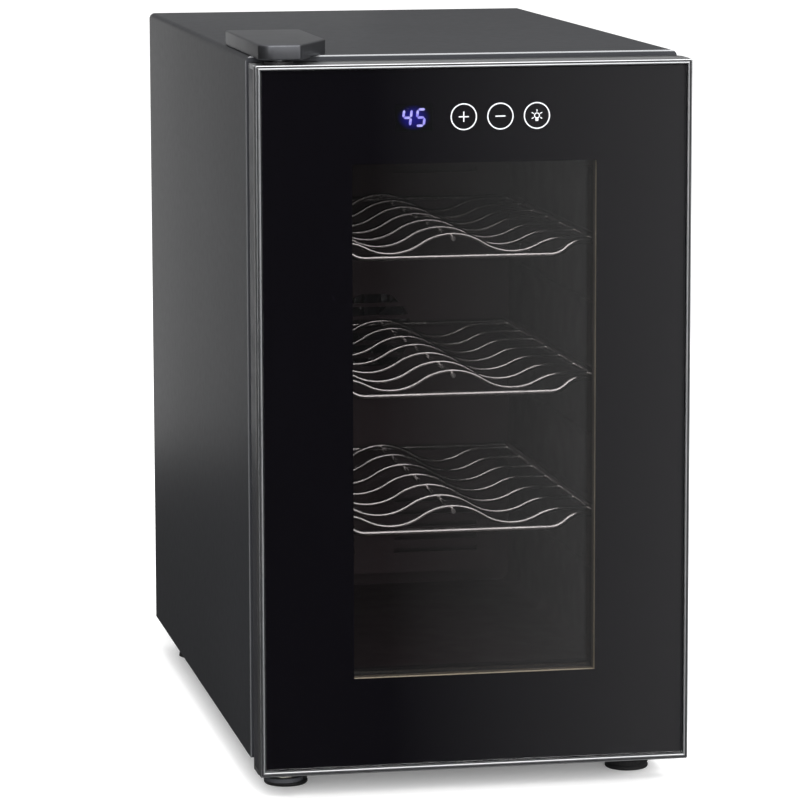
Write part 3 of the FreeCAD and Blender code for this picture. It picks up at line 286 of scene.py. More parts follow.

# %% [markdown]
# ## Printed ink, display and circuit boards
# The black border of the door is ceramic ink, fired onto the back of the glass: flat, very dark
# and slightly violet. The rings and signs are thin white ink with a faint painted glow. The figures are
# lit from behind, so they shine, and their dark window catches a little of their light around them.

# %% Printed ink and display
def ink(name, low, high, rough_low, rough_high, shine=0.5, glow=0.0):
    """Fired or screen-printed ink with the fine dots of its mesh; glow is painted light, a shine of its
    own.
    """
    made, tree, place, output = blank(name)
    mesh = noise(tree, place, 0.4, 2.0)
    shader = add(tree, "ShaderNodeBsdfPrincipled", {
        "Base Color": tint(tree, mesh, low, high),
        "Roughness": spread(tree, noise(tree, place, 30.0, 3.0), rough_low, rough_high),
        "Normal": bumps(tree, mesh, 0.004), "IOR": 1.5, "Specular IOR Level": shine,
        "Emission Color": linear(high), "Emission Strength": glow})
    tree.links.new(shader.outputs[0], output.inputs["Surface"])
    materials[name] = made
    return made


# Ceramic ink, fired onto the glass: so flat and dark that the border has no surface of its own.
ink("ceramic_ink_black", "050407", "070609", 0.30, 0.40, shine=0.0)
# White ink, screen-printed, with a painted glow that keeps the signs crisp behind the glass.
ink("screen_ink_white", "c9c9cd", "d6d6da", 0.40, 0.52, glow=0.34)
# Three that are no inks but just as flat: etched acrylic, solder mask and blown foam.
ink("light_guide_frosted", "c8ccd2", "d8dbe0", 0.32, 0.44)
ink("solder_mask_green", "0d4326", "15593a", 0.28, 0.42)
ink("polyurethane_foam", "b79a5c", "cdb27a", 0.80, 0.92)
print("finishes so far:", len(materials))

# %% Lit figures and their window
# A lit segment is diffusing plastic over a lamp: its light is a little uneven, lilac to white.
made, tree, place, output = blank("lit_segment")
core = add(tree, "ShaderNodeTexNoise",
           {"Vector": place, "Scale": 1 / (2.5 * MM), "Detail": 1.0}).outputs["Fac"]
lit = add(tree, "ShaderNodeBsdfPrincipled", {
    "Base Color": linear("2a2650"), "Roughness": 0.4,
    "Emission Color": tint(tree, core, "8b82f4", "c6c1ff"), "Emission Strength": 1.05})
tree.links.new(lit.outputs[0], output.inputs["Surface"])
materials["lit_segment"] = made

# The window is smoked acrylic. Its halo is an ellipse centred on the figures, by a Mapping node.
digits_low, digits_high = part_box("display_digits")
digits_middle = (digits_low + digits_high) / 2
halo_x, halo_z = 11 * MM, 8.5 * MM
made, tree, place, output = blank("smoked_display_window")
centred = add(tree, "ShaderNodeMapping", {
    "Vector": place, "Location": (-digits_middle.x / halo_x, 0.0, -digits_middle.z / halo_z),
    "Scale": (1 / halo_x, 0.0, 1 / halo_z)})
away = add(tree, "ShaderNodeVectorMath", {0: centred.outputs[0]}, operation="LENGTH").outputs["Value"]
halo = add(tree, "ShaderNodeMapRange", {"Value": away, "From Min": 0.25, "From Max": 1.0,
                                       "To Min": 0.34, "To Max": 0.0},
           interpolation_type="SMOOTHSTEP")
smoked = add(tree, "ShaderNodeBsdfPrincipled", {
    "Base Color": tint(tree, noise(tree, place, 8.0), "030304", "050506"),
    "Roughness": spread(tree, noise(tree, place, 5.0), 0.2, 0.3), "Specular IOR Level": 0.0,
    "Emission Color": linear("2c25c8"), "Emission Strength": halo.outputs[0]})
tree.links.new(smoked.outputs[0], output.inputs["Surface"])
materials["smoked_display_window"] = made
print("finishes so far:", len(materials))

# %% [markdown]
# ## Finishes that change along a part
# Two parts change colour along their depth. The door caps are bright only along the front; behind that
# the black frame shows. The glass spacer catches light on its front lip, and its shade behind is
# painted into its colour. A step in Object Y does both, and because the coordinates belong to the part,
# it swings with it.

# %% Darker behind a line
def darker_behind(name, y, code):
    """Turn a finish to a dark, non-metal colour behind a plane of its part."""
    tree = materials[name].node_tree
    nodes = {node.type: node for node in tree.nodes}
    shader, place = nodes["BSDF_PRINCIPLED"], nodes["TEX_COORD"].outputs["Object"]
    depth = add(tree, "ShaderNodeSeparateXYZ", {0: place}).outputs["Y"]
    front_colour = shader.inputs["Base Color"].links[0].from_socket
    behind = spread(tree, depth, 0.0, 1.0, y - 0.3 * MM, y + 0.3 * MM)
    both = add(tree, "ShaderNodeMix", {0: behind, 6: front_colour, 7: linear(code)}, data_type="RGBA")
    tree.links.new(both.outputs[2], shader.inputs["Base Color"])
    if shader.inputs["Metallic"].default_value > 0.5:
        in_front = spread(tree, depth, 1.0, 0.0, y - 0.3 * MM, y + 0.3 * MM)
        tree.links.new(in_front, shader.inputs["Metallic"])


cap_low, cap_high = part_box("door_top_cap")
cap_line = cap_low.y + 0.55 * (cap_high.y - cap_low.y)
spacer_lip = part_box("glazing_spacer")[0].y + 6.0 * MM
darker_behind("anodised_aluminium_caps", cap_line, "101012")
# Painted shade: behind its lit front lip the spacer turns dark brown.
darker_behind("edge_spacer_beige", spacer_lip, "39322b")
print("caps turn black behind y =", round(cap_line / MM, 1), "mm")

# %% [markdown]
# ## Handing out the finishes
# The solids come in with plain stand-in colours. One table names the finish of each, so that the
# whole choice can be read at a glance, and the loop below puts it in the solid's own slots.

# %% Give each solid its finish
finishes = {
    "powder_coated_steel": ["cabinet_wrap", "rear_panel", "bottom_hinge_plate"],
    "zinc_plated_steel": ["base_plate", "rear_bulkhead", "top_hinge_plate"],
    "chrome_plated_wire": ["shelf_bottom", "shelf_middle", "shelf_top"],
    "abs_liner_grained": ["inner_liner", "duct_cover"],
    "polyurethane_foam": ["foam_insulation", "door_insulation"],
    "abs_black_moulded": ["temperature_sensor", "wall_spacers", "inner_fan_frame", "rear_fan_frame",
                          "inner_fan_rotor", "rear_fan_rotor", "power_inlet", "glazing_retainer"],
    "metallic_grey_lacquer": ["top_hinge_cover"],
    "abs_door_frame_satin": ["door_frame"],
    "anodised_aluminium_trim": ["door_trim"],
    "anodised_aluminium_caps": ["door_top_cap", "door_bottom_cap"],
    "extruded_aluminium": ["cold_sink", "cold_block", "hot_sink"],
    "bright_steel_fastener": ["rear_panel_screws", "rear_fan_guard", "top_hinge_pin", "bottom_hinge_pin",
                              "hinge_screws", "foot_nuts"],
    "tempered_float_glass": ["door_glass"],
    "tempered_float_glass_inner": ["inner_glass"],
    "ceramic_ink_black": ["door_mask"],
    "smoked_display_window": ["display_module"],
    "screen_ink_white": ["control_symbols"],
    "lit_segment": ["display_digits"],
    "solder_mask_green": ["light_board", "power_board", "touch_board"],
    "vinyl_gasket": ["door_gasket"],
    "rubber_moulded": ["front_left_foot", "front_right_foot", "rear_feet"],
    "nylon_natural": ["board_standoffs", "thrust_washer", "touch_pads"],
    "nylon_black": ["top_bushing", "bottom_bushing"],
    "edge_spacer_beige": ["glazing_spacer"],
    "light_guide_frosted": ["light_lens"],
    "alumina_ceramic_plate": ["thermoelectric_module"],
    "winding_tape_polyester": ["transformer"],
    "capacitor_sleeve_shrunk": ["capacitors"],
}
for finish, names in finishes.items():
    for name in names:
        nodes[name].data.materials.clear()
        nodes[name].data.materials.append(materials[finish])
left_out = sorted(set(nodes) - {name for names in finishes.values() for name in names})
print("solids with no finish:", left_out)

# %% [markdown]
# ## Tools for shapes
# Most small parts here are turned on a lathe, run round the door as a moulding, or repeated. A
# lathe needs a profile and a number of steps. A moulding needs a profile and a rectangle, and its
# corners come out mitred, as a cut and joined strip has them.

# %% Shape tools
def finish_mesh(name, bm, finish, body, sharp_deg=35):
    """Turn a bmesh into a piece with one finish that rides on a body."""
    mesh = bpy.data.meshes.new(name)
    bm.to_mesh(mesh)
    bm.free()
    for face in mesh.polygons:
        face.use_smooth = True
    mesh.set_sharp_from_angle(angle=math.radians(sharp_deg))
    piece = bpy.data.objects.new(name, mesh)
    scene.collection.objects.link(piece)
    mesh.materials.append(materials[finish])
    if body:
        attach(piece, body)
    return piece


def turned(profile, steps):
    """A lathe shape about Z from (radius, height) pairs in millimetres; radius 0 closes an end."""
    bm = bmesh.new()
    rings = []
    for radius, height in profile:
        count = 1 if radius == 0 else steps
        rings.append([bm.verts.new((radius * MM * math.cos(2 * math.pi * i / steps),
                                    radius * MM * math.sin(2 * math.pi * i / steps), height * MM))
                      for i in range(count)])
    for low, high in zip(rings, rings[1:]):
        for i in range(steps):
            corners = [low[i % len(low)], low[(i + 1) % len(low)],
                       high[(i + 1) % len(high)], high[i % len(high)]]
            face = list(dict.fromkeys(corners))
            if len(face) > 2:
                bm.faces.new(face)
    bmesh.ops.recalc_face_normals(bm, faces=bm.faces)
    return bm


def moulding(low, high, profile, corner_mm, corner_steps=6):
    """A closed profile of (inset, y) pairs in millimetres, run round a rectangle in X and Z."""
    bm = bmesh.new()
    loops = []
    for inset, y in profile:
        radius = max(corner_mm - inset, 0.02) * MM
        loop = []
        for sx, sz, start in ((1, 1, 0), (-1, 1, 90), (-1, -1, 180), (1, -1, 270)):
            cx = (high.x if sx > 0 else low.x) - sx * (inset * MM + radius)
            cz = (high.z if sz > 0 else low.z) - sz * (inset * MM + radius)
            for i in range(corner_steps + 1):
                angle = math.radians(start + 90 * i / corner_steps)
                corner = (cx + radius * math.cos(angle), y * MM, cz + radius * math.sin(angle))
                loop.append(bm.verts.new(corner))
        loops.append(loop)
    for this, following in zip(loops, loops[1:] + loops[:1]):
        for i in range(len(this)):
            bm.faces.new((this[i], this[i - 1], following[i - 1], following[i]))
    bmesh.ops.recalc_face_normals(bm, faces=bm.faces)
    return bm


print("shape tools ready")

# %% [markdown]
# ## The door's metal edge
# A drawn aluminium strip frames the glass. Its face is not flat: there is a thin outer edge, a
# narrow groove, and a rounded bead against the glass. The bead is what makes the strip bright at
# the top and left and dim at the right and bottom, so it needs real curvature. A moulding with
# mitred corners gives it; the groove's floor is black, as painted shade in the recess.

# %% Door edge
low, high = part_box("door_trim")
front, rear = low.y / MM, high.y / MM
floor_y = front + 0.8
bead = [(2.35 - 0.8 * math.cos(math.radians(a)), front + 0.45 - 0.45 * math.sin(math.radians(a)))
        for a in range(0, 181, 20)]
edge_profile = [(0, rear), (0, floor_y), (0.2, front + 0.25), (0.7, front + 0.15), (0.8, floor_y),
                (1.5, floor_y)] + bead + [(3.2, floor_y), (3.2, rear)]
bm = moulding(low, high, edge_profile, 1.2)
# Painted shade: the faces on the groove's floor take the black second finish.
for face in bm.faces:
    in_groove = all(abs(vert.co.y / MM - floor_y) < 0.01 for vert in face.verts)
    face.material_index = 1 if in_groove else 0
door_edge = finish_mesh("door_edge", bm, "anodised_aluminium_trim", "door")
door_edge.data.materials.append(materials["abs_black_moulded"])
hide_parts("door_trim")
print("door edge:", len(door_edge.data.polygons), "faces")

# %% [markdown]
# ## The door seal
# A fridge seal is a soft vinyl bellows with a magnet strip inside. It could be a plain band, but
# with the door open the folds show, so its section has two pinched sides and a shallow groove
# along the sealing face.

# %% Door seal
low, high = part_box("door_gasket")
back, face_y = low.y / MM, high.y / MM    # the side on the door, and the side that seals
seal_profile = [(0, back), (0, back + 1.2), (1.3, back + 1.8), (0.6, back + 2.6), (0.2, back + 3.8),
                (0.7, back + 5.1), (1.9, face_y), (5.0, face_y), (5.5, face_y - 0.5), (6.0, face_y),
                (9.1, face_y), (10.3, back + 5.1), (10.8, back + 3.8), (10.4, back + 2.6),
                (9.7, back + 1.8), (11, back + 1.2), (11, back)]
door_seal = finish_mesh("door_seal", moulding(low, high, seal_profile, 8.0, 8), "vinyl_gasket", "door")
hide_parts("door_gasket")
print("door seal:", len(door_seal.data.polygons), "faces")

# %% [markdown]
# ## Softened edges
# Moulded and folded parts never end in a knife edge: a small radius catches the light as a thin
# line. A copy of the solid gets its doubled corners merged, flat areas joined, and a narrow bevel.

# %% Softened edges
SAME_POINT = 0.002 * MM    # corners closer than this are one corner


def softened(node, name, width_mm, finish, body, segments=3):
    """A copy of a solid with its sharp edges rounded, which stands for the solid."""
    bm = bmesh.new()
    bm.from_mesh(nodes[node].data)
    bmesh.ops.remove_doubles(bm, verts=bm.verts, dist=SAME_POINT)
    bmesh.ops.dissolve_limit(bm, angle_limit=math.radians(1), verts=bm.verts, edges=bm.edges)
    mesh = bpy.data.meshes.new(name + "_base")
    bm.to_mesh(mesh)
    bm.free()
    base = bpy.data.objects.new(name + "_base", mesh)
    scene.collection.objects.link(base)
    rounding = base.modifiers.new("rounding", "BEVEL")
    rounding.width = width_mm * MM
    rounding.segments = segments
    rounding.limit_method = "ANGLE"
    rounding.angle_limit = math.radians(40)
    bpy.context.view_layer.update()
    evaluated = base.evaluated_get(bpy.context.evaluated_depsgraph_get())
    bm = bmesh.new()
    bm.from_mesh(bpy.data.meshes.new_from_object(evaluated))
    bpy.data.objects.remove(base)
    piece = finish_mesh(name, bm, finish, body)
    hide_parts(node)
    print(name, len(piece.data.polygons), "faces")
    return piece


softened("top_hinge_cover", "hinge_cover", 0.9, "metallic_grey_lacquer", "cabinet")
softened("wall_spacers", "wall_spacers_rounded", 0.6, "abs_black_moulded", "cabinet", 2)

# %% [markdown]
# ## Signs and figures under the glass
# The signs and the lit figures touch the back of the glass. Two surfaces in the same place
# flicker, so each copy's front face is set back by a tenth of a millimetre.

# %% Signs and figures
def set_back(node, name, finish):
    """A copy of a flat print whose front face lies just behind the glass."""
    bm = bmesh.new()
    bm.from_mesh(nodes[node].data)
    bmesh.ops.remove_doubles(bm, verts=bm.verts, dist=SAME_POINT)
    front_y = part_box(node)[0].y
    for vert in bm.verts:
        if vert.co.y < front_y + 0.05 * MM:
            vert.co.y = front_y + 0.1 * MM
    piece = finish_mesh(name, bm, finish, "door")
    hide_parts(node)
    return piece


set_back("control_symbols", "key_signs", "screen_ink_white")
set_back("display_digits", "lit_figures", "lit_segment")
print("signs and figures set back")

# %% [markdown]
# ## Repeated parts with Geometry Nodes
# Screws, weld beads and the vent holes of the glass spacer are one shape many times. A small
# triangle marks each place and which way it faces; the tree puts a copy on every triangle, gives
# it a turn from a fixed seed, and joins all copies into one mesh. Moving one mark moves one copy.

# %% Placing tree
def placing_tree():
    """Geometry Nodes that put one object on every face of the marks."""
    tree = bpy.data.node_groups.new("place_on_marks", "GeometryNodeTree")
    tree.interface.new_socket("Geometry", in_out="INPUT", socket_type="NodeSocketGeometry")
    for name, kind in (("Part", "NodeSocketObject"), ("Scale", "NodeSocketFloat"),
                       ("Turn", "NodeSocketFloat"), ("Finish", "NodeSocketMaterial")):
        tree.interface.new_socket(name, in_out="INPUT", socket_type=kind)
    tree.interface.new_socket("Geometry", in_out="OUTPUT", socket_type="NodeSocketGeometry")
    given = add(tree, "NodeGroupInput").outputs
    normal = add(tree, "GeometryNodeInputNormal").outputs[0]
    capture = add(tree, "GeometryNodeCaptureAttribute", {0: given["Geometry"]}, domain="FACE")
    capture.capture_items.new("VECTOR", "Facing")
    tree.links.new(normal, capture.inputs[1])
    points = add(tree, "GeometryNodeMeshToPoints", {0: capture.outputs[0]}, mode="FACES")
    spin = add(tree, "FunctionNodeRandomValue", {2: 0.0, 3: given["Turn"], "Seed": 7}).outputs[1]
    axis = add(tree, "ShaderNodeCombineXYZ", {2: spin}).outputs[0]
    own = add(tree, "FunctionNodeEulerToRotation", {0: axis}).outputs[0]
    aligned = add(tree, "FunctionNodeAlignRotationToVector",
                  {"Rotation": own, "Vector": capture.outputs[1]}, axis="Z").outputs[0]
    part = add(tree, "GeometryNodeObjectInfo", {"Object": given["Part"], "As Instance": True})
    placed = add(tree, "GeometryNodeInstanceOnPoints", {
        "Points": points.outputs[0], "Instance": part.outputs["Geometry"],
        "Rotation": aligned, "Scale": given["Scale"]}).outputs[0]
    joined = add(tree, "GeometryNodeRealizeInstances", {0: placed}).outputs[0]
    painted = add(tree, "GeometryNodeSetMaterial", {0: joined, "Material": given["Finish"]}).outputs[0]
    add(tree, "NodeGroupOutput", {0: painted})
    return tree


placing = placing_tree()
print("placing tree:", len(placing.nodes), "nodes")


# %% Repeated parts
def repeated(name, marks, part, finish, body, scale=1.0, turn=0.0):
    """One mesh with a copy of part at every mark, a pair of a point and the way it faces."""
    corners, faces = [], []
    for point, facing in marks:
        side = Vector(facing).orthogonal().normalized()
        other = Vector(facing).normalized().cross(side)
        for i in range(3):
            angle = 2 * math.pi * i / 3
            offset = side * math.cos(angle) + other * math.sin(angle)
            corners.append(Vector(point) + offset * 0.1 * MM)
        faces.append((len(corners) - 3, len(corners) - 2, len(corners) - 1))
    mesh = bpy.data.meshes.new(name + "_marks")
    mesh.from_pydata(corners, [], faces)
    holder = bpy.data.objects.new(name + "_marks", mesh)
    scene.collection.objects.link(holder)
    live = holder.modifiers.new("place", "NODES")
    live.node_group = placing
    values = {"Part": part, "Scale": scale, "Turn": turn, "Finish": materials[finish]}
    for item in placing.interface.items_tree:
        if item.in_out == "INPUT" and item.name in values:
            live[item.identifier] = values[item.name]
    bpy.context.view_layer.update()
    evaluated = holder.evaluated_get(bpy.context.evaluated_depsgraph_get())
    made_mesh = bpy.data.meshes.new_from_object(evaluated)
    bpy.data.objects.remove(holder)
    made_mesh.name = name
    piece = bpy.data.objects.new(name, made_mesh)
    scene.collection.objects.link(piece)
    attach(piece, body)
    print(name, len(marks), "copies,", len(made_mesh.polygons), "faces")
    return piece


# %% [markdown]
# ## Screws
# Pan-head screws with a cross recess hold the rear panel and the hinges. The head is turned, and
# the cross is sunk into its flat top. They are modelled because the back is seen close up.

# %% A screw
steps, head_radius, head_height, shank_radius, shank_length = 32, 4.0, 2.15, 1.9, 7.5


def ring(bm, radius, z):
    """Corners on a circle about Z, in millimetres."""
    angles = [2 * math.pi * i / steps for i in range(steps)]
    return [bm.verts.new((radius * MM * math.cos(a), radius * MM * math.sin(a), z * MM)) for a in angles]


def cross_screw():
    """A pan-head screw whose seat is at the origin and whose head points along Z."""
    bm = turned([(3.96, 0), (head_radius, 0.25), (3.95, 0.9), (3.6, 1.55), (3.0, 2.0),
                 (2.5, head_height)], steps)
    rim = [e for e in bm.edges if e.is_boundary and e.verts[0].co.z > 2 * MM]
    arm, half = 1.7 * MM, 0.36 * MM
    cross = [(half, half), (half, arm), (-half, arm), (-half, half), (-arm, half), (-arm, -half),
             (-half, -half), (-half, -arm), (half, -arm), (half, -half), (arm, -half), (arm, half)]
    top = [bm.verts.new((x, y, head_height * MM)) for x, y in cross]
    sunk = [bm.verts.new((0.7 * x, 0.7 * y, 1.0 * MM)) for x, y in cross]
    outline = [bm.edges.new((top[i - 1], top[i])) for i in range(len(top))]
    bmesh.ops.triangle_fill(bm, edges=rim + outline, use_beauty=True)
    for i in range(len(top)):
        bm.faces.new((top[i - 1], top[i], sunk[i], sunk[i - 1]))
    bm.faces.new(sunk)
    shank_low = ring(bm, shank_radius, -shank_length)
    seat = [v for v in bm.verts if abs(v.co.z) < 0.01 * MM and v.co.xy.length > 3.9 * MM]
    seat.sort(key=lambda v: math.atan2(v.co.y, v.co.x) % (2 * math.pi))
    shank_high = ring(bm, shank_radius, 0)
    for i in range(steps):
        bm.faces.new((seat[i - 1], seat[i], shank_high[i], shank_high[i - 1]))
        bm.faces.new((shank_high[i - 1], shank_high[i], shank_low[i], shank_low[i - 1]))
    bm.faces.new(shank_low)
    bmesh.ops.recalc_face_normals(bm, faces=bm.faces)
    return finish_mesh("cross_screw", bm, "bright_steel_fastener", None, 30)


screw = cross_screw()
print("one screw:", len(screw.data.polygons), "faces")


# %% Where the screws sit
def solid_boxes(node):
    """The lowest and highest corner of each separate solid in a node."""
    bm = bmesh.new()
    bm.from_mesh(nodes[node].data)
    bmesh.ops.remove_doubles(bm, verts=bm.verts, dist=SAME_POINT)
    left, found = set(bm.verts), []
    while left:
        group, waiting = set(), [left.pop()]
        while waiting:
            vert = waiting.pop()
            group.add(vert)
            for link in vert.link_edges:
                other = link.other_vert(vert)
                if other in left:
                    left.discard(other)
                    waiting.append(other)
        lows = Vector([min(v.co[i] for v in group) for i in range(3)])
        highs = Vector([max(v.co[i] for v in group) for i in range(3)])
        found.append((lows, highs))
    bm.free()
    return sorted(found, key=lambda pair: [round(v, 5) for v in pair[0]])


head_room = 2.4 * MM    # height of the head in the solids
middle_height = 0.2     # hinge screws above this point up, the others down
rear_marks, hinge_marks = [], []
for a, b in solid_boxes("rear_panel_screws"):
    rear_marks.append((((a.x + b.x) / 2, b.y - head_room, (a.z + b.z) / 2), (0, 1, 0)))
for a, b in solid_boxes("hinge_screws"):
    up = b.z > middle_height
    seat_z = b.z - head_room if up else a.z + head_room
    hinge_marks.append((((a.x + b.x) / 2, (a.y + b.y) / 2, seat_z), (0, 0, 1 if up else -1)))
for piece_name, marks, node in (("rear_screws", rear_marks, "rear_panel_screws"),
                                ("hinge_heads", hinge_marks, "hinge_screws")):
    screws = repeated(piece_name, marks, screw, "bright_steel_fastener", "cabinet", turn=3.0)
    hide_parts(node)
bpy.data.objects.remove(screw)

# %% [markdown]
# ## Weld beads on the racks
# Chromed racks are spot-welded: each cross wire is melted a little into the rail and the spine,
# which leaves a small flattened bead under the plating. The beads sit at sums of the rack's own
# sizes, so one loop finds them all.

# %% Weld beads
bead_profile = [(0, -1.7), (1.3, -1.2), (1.9, 0), (1.3, 1.2), (0, 1.7)]
bead_shape = finish_mesh("bead_shape", turned(bead_profile, 10), "chrome_plated_wire", None, 60)
wires, rail_x, rail_up, spine_up = 7, 89.4, 8.0, 10.7    # from the rack's middle and foot, mm
end_wire = 5 * MM          # the end wires lie this far inside the rack's box
first_wave = 26 * MM       # and the first cross wave this far from its front
weld_marks = []
for rack in ("shelf_bottom", "shelf_middle", "shelf_top"):
    low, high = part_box(rack)
    base_z = low.z + 2.0 * MM
    first, rear = low.y + first_wave, high.y - end_wire
    pitch = (rear - first - 12 * MM) / (wires - 1)
    rail_z, spine_z = base_z + rail_up * MM, base_z + spine_up * MM
    for i in range(wires):
        y = first + i * pitch
        weld_marks += [((side * rail_x * MM, y, rail_z), (1, 0, 0)) for side in (-1, 1)]
        weld_marks.append(((0, y, spine_z), (0, 0, 1)))
    for y in (low.y + end_wire, rear):
        weld_marks += [((side * rail_x * MM, y, rail_z), (1, 0, 0)) for side in (-1, 1)]
rack_welds = repeated("rack_welds", weld_marks, bead_shape, "chrome_plated_wire", "cabinet", turn=6.0)
bpy.data.objects.remove(bead_shape)

# %% [markdown]
# ## Vent holes of the glass spacer
# Between the panes runs a spacer full of drying beads. Its inner face is pierced with tiny holes
# every 5 mm, which tells the eye that this is sealed double glass. Cutting two hundred holes
# would be heavy for something so small, so each is a thin dark disc on the face: painted shade for a
# hole.

# %% Vent holes
# Painted shade: one thin black disc for each hole.
hole_shape = finish_mesh("hole_shape", turned([(0, 0), (0.55, 0), (0.55, 0.04), (0, 0.04)], 8),
                         "abs_black_moulded", None)
low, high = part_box("glazing_spacer")
bar, hole_pitch = 8.0 * MM, 5.0 * MM
inner_low, inner_high = low + Vector((bar, 0, bar)), high - Vector((bar, 0, bar))
middle_y = (low.y + high.y) / 2
hole_marks = []
opening = inner_high - inner_low
across, up = int(opening.x / hole_pitch), int(opening.z / hole_pitch)
for i in range(1, across):
    x = inner_low.x + i * opening.x / across
    hole_marks += [((x, middle_y, inner_low.z), (0, 0, 1)), ((x, middle_y, inner_high.z), (0, 0, -1))]
for i in range(1, up):
    z = inner_low.z + i * opening.z / up
    hole_marks += [((inner_low.x, middle_y, z), (1, 0, 0)), ((inner_high.x, middle_y, z), (-1, 0, 0))]
spacer_holes = repeated("spacer_holes", hole_marks, hole_shape, "abs_black_moulded", "door")
bpy.data.objects.remove(hole_shape)

# %% [markdown]
# ## Levelling feet
# The front feet are turned by hand to level the cooler: a rubber tread, a waist, and a ribbed
# band for the fingers above it. The body is a lathe shape; the ribs are one small bar repeated
# forty-two times round it. Both ride on the foot's own body, so they turn with its joint.

# %% Levelling feet
foot_profile = [(0, 0), (12.4, 0), (13.4, 0.3), (14.0, 1.1), (14.0, 2.3), (13.5, 2.8), (13.2, 3.2),
                (13.2, 3.5), (13.6, 3.9), (13.6, 5.9), (13.2, 6.6), (12.2, 7.0), (11.2, 7.05),
                (10.9, 7.6), (9.3, 11.9), (8.6, 12.0), (4.0, 12.0), (4.0, 34.0), (0, 34.0)]
rib_profile = [(0, -0.9), (0.4, -0.9), (0.4, 0.9), (0, 0.9)]
rib_shape = finish_mesh("rib_shape", turned(rib_profile, 8), "rubber_moulded", None, 60)
ribs, rib_circle, rib_height = 42, 13.55 * MM, 4.9 * MM
for side_name in ("left", "right"):
    node, body = f"front_{side_name}_foot", f"{side_name}_foot"
    low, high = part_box(node)
    centre = Vector(((low.x + high.x) / 2, (low.y + high.y) / 2, low.z))
    bm = turned(foot_profile, 84)
    bmesh.ops.translate(bm, verts=bm.verts, vec=centre)
    foot = finish_mesh(f"levelling_foot_{side_name}", bm, "rubber_moulded", body, 28)
    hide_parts(node)
    marks = []
    for i in range(ribs):
        angle = 2 * math.pi * i / ribs
        out = Vector((math.cos(angle), math.sin(angle), 0))
        marks.append((centre + out * rib_circle + Vector((0, 0, rib_height)), (0, 0, 1)))
    band = repeated(f"foot_ribs_{side_name}", marks, rib_shape, "rubber_moulded", body)
bpy.data.objects.remove(rib_shape)

# %% [markdown]
# ## The studio's light
# The cooler stands in an even white studio. Black glass shows only what it mirrors, so mirror rays
# meet a painted dome instead: low light behind, bright overhead and high in front, and low in
# front a dark card that fades to grey on the right, which gives the door its slow change across.
# Light Path tells the two kinds of ray apart. Rays that leave through a pane to the rear see
# plain white again, or the open door's window would look black.

# %% World
scene.view_settings.view_transform = "Standard"
world = bpy.data.worlds.new("studio")
world.use_nodes = True
world.cycles.sampling_method = "NONE"
tree = world.node_tree
tree.nodes.clear()
toward = add(tree, "ShaderNodeSeparateXYZ",
             {0: add(tree, "ShaderNodeTexCoord").outputs["Generated"]}).outputs
above = add(tree, "ShaderNodeValToRGB", {"Fac": spread(tree, toward["Z"], 0.0, 1.0, -1.0, 1.0)})
levels = above.color_ramp.elements
levels[0].position, levels[1].position = 0.47, 1.0
for height, level in ((0.50, 0.05), (0.56, 0.27), (0.62, 0.27), (0.70, 0.20), (0.85, 0.60)):
    levels.new(height).color = (level, level, level, 1)
levels[0].color = (0.05, 0.05, 0.05, 1)
levels[-1].color = (0.9, 0.9, 0.9, 1)
front_sky, studio_white = 3.2, 1.08
card = spread(tree, toward["X"], 0.025, 0.80, 0.1785, 0.32)
upward = spread(tree, toward["Z"], 0.0, 1.0, -0.02, 0.3)
front_light = add(tree, "ShaderNodeMix", {0: upward, 2: card, 3: front_sky}).outputs[0]
ahead = spread(tree, toward["Y"], 1.0, 0.0, -0.9, -0.5)
dome = add(tree, "ShaderNodeMix", {0: ahead, 2: above.outputs[0], 3: front_light}).outputs[0]
rays = add(tree, "ShaderNodeLightPath").outputs
plain_ray = add(tree, "ShaderNodeMath", {0: rays["Is Camera Ray"], 1: rays["Is Diffuse Ray"]},
                operation="MAXIMUM").outputs[0]
rearward = spread(tree, toward["Y"], 0.0, 1.0, -0.1, 0.1)
through_glass = add(tree, "ShaderNodeMath", {0: rays["Is Transmission Ray"], 1: rearward},
                    operation="MULTIPLY").outputs[0]
white = add(tree, "ShaderNodeMath", {0: plain_ray, 1: through_glass}, operation="MAXIMUM").outputs[0]
strength = add(tree, "ShaderNodeMix", {0: white, 2: dome, 3: studio_white}).outputs[0]
sky = add(tree, "ShaderNodeBackground", {"Color": linear("ffffff"), "Strength": strength})
add(tree, "ShaderNodeOutputWorld", {"Surface": sky.outputs[0]})
scene.world = world
print("world:", len(tree.nodes), "nodes")

# %% [markdown]
# ## The floor
# A pale paper floor, far wider than the view. A trace of its own light keeps the shadow soft, as
# a lit sweep does. The door doesn't mirror it, because the dome already stands for what is there.

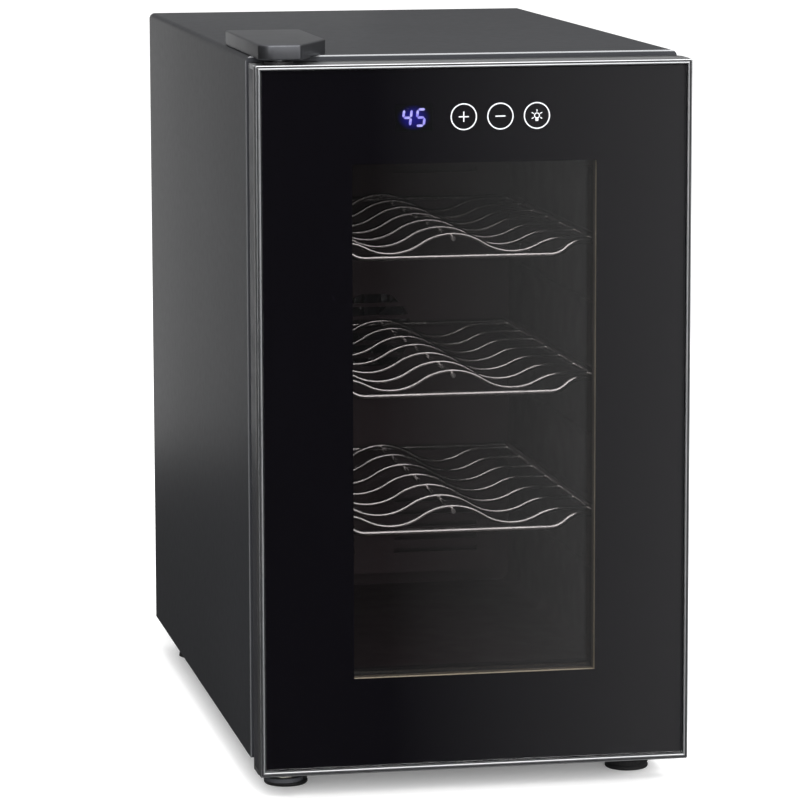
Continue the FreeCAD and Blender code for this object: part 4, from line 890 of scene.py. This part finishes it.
# %% Paper floor
made, tree, place, output = blank("paper_sweep")
paper = add(tree, "ShaderNodeBsdfPrincipled", {
    "Base Color": tint(tree, noise(tree, place, 300.0), "f8f8f8", "fbfbfb"),
    "Roughness": spread(tree, noise(tree, place, 20.0), 0.85, 0.95), "Specular IOR Level": 0.0,
    "Emission Color": linear("ffffff"), "Emission Strength": 0.12})
tree.links.new(paper.outputs[0], output.inputs["Surface"])
half = 40.0
mesh = bpy.data.meshes.new("floor")
mesh.from_pydata([(-half, -half, 0), (half, -half, 0), (half, half, 0), (-half, half, 0)],
                 [], [(0, 1, 2, 3)])
floor = bpy.data.objects.new("floor", mesh)
scene.collection.objects.link(floor)
floor.data.materials.append(made)
floor.visible_glossy = False
floor.visible_transmission = False
print("floor:", 2 * half, "m wide")

# %% [markdown]
# ## The lamps
# Soft boxes in front and overhead give the shadow on the floor and light the compartment. Glossy
# surfaces don't show them, because a white square would spoil the black glass. The lamp behind is
# the exception: its blurred reflection makes the slow gradient along the left side.

# %% Soft boxes
def soft_box(name, place_at, target, size, power, mirrored=False):
    """A square soft light, aimed at a point and out of sight; mirrored lets gloss show it."""
    data = bpy.data.lights.new(name, "AREA")
    data.shape = "SQUARE"
    data.size = size
    data.energy = power
    lamp = bpy.data.objects.new(name, data)
    scene.collection.objects.link(lamp)
    lamp.visible_camera = False
    lamp.visible_glossy = mirrored
    lamp.visible_transmission = False
    aim = (Vector(target) - Vector(place_at)).to_track_quat("-Z", "Y")
    lamp.matrix_world = Matrix.Translation(place_at) @ aim.to_matrix().to_4x4()
    print("lamp", name, power, "W")


soft_box("rear_left", (-0.09, 1.0, 0.27), (-0.14, 0.1, 0.27), 0.5, 1.1, mirrored=True)
soft_box("front_high", (-0.3, -3.1, 1.3), (0, -0.2, 0.2), 1.8, 160)
soft_box("front_low", (0.25, -2.6, 0.6), (0, -0.2, 0.2), 0.5, 18)
soft_box("overhead", (0.5, -1.2, 2.6), (0, -0.2, 0.0), 2.0, 60)
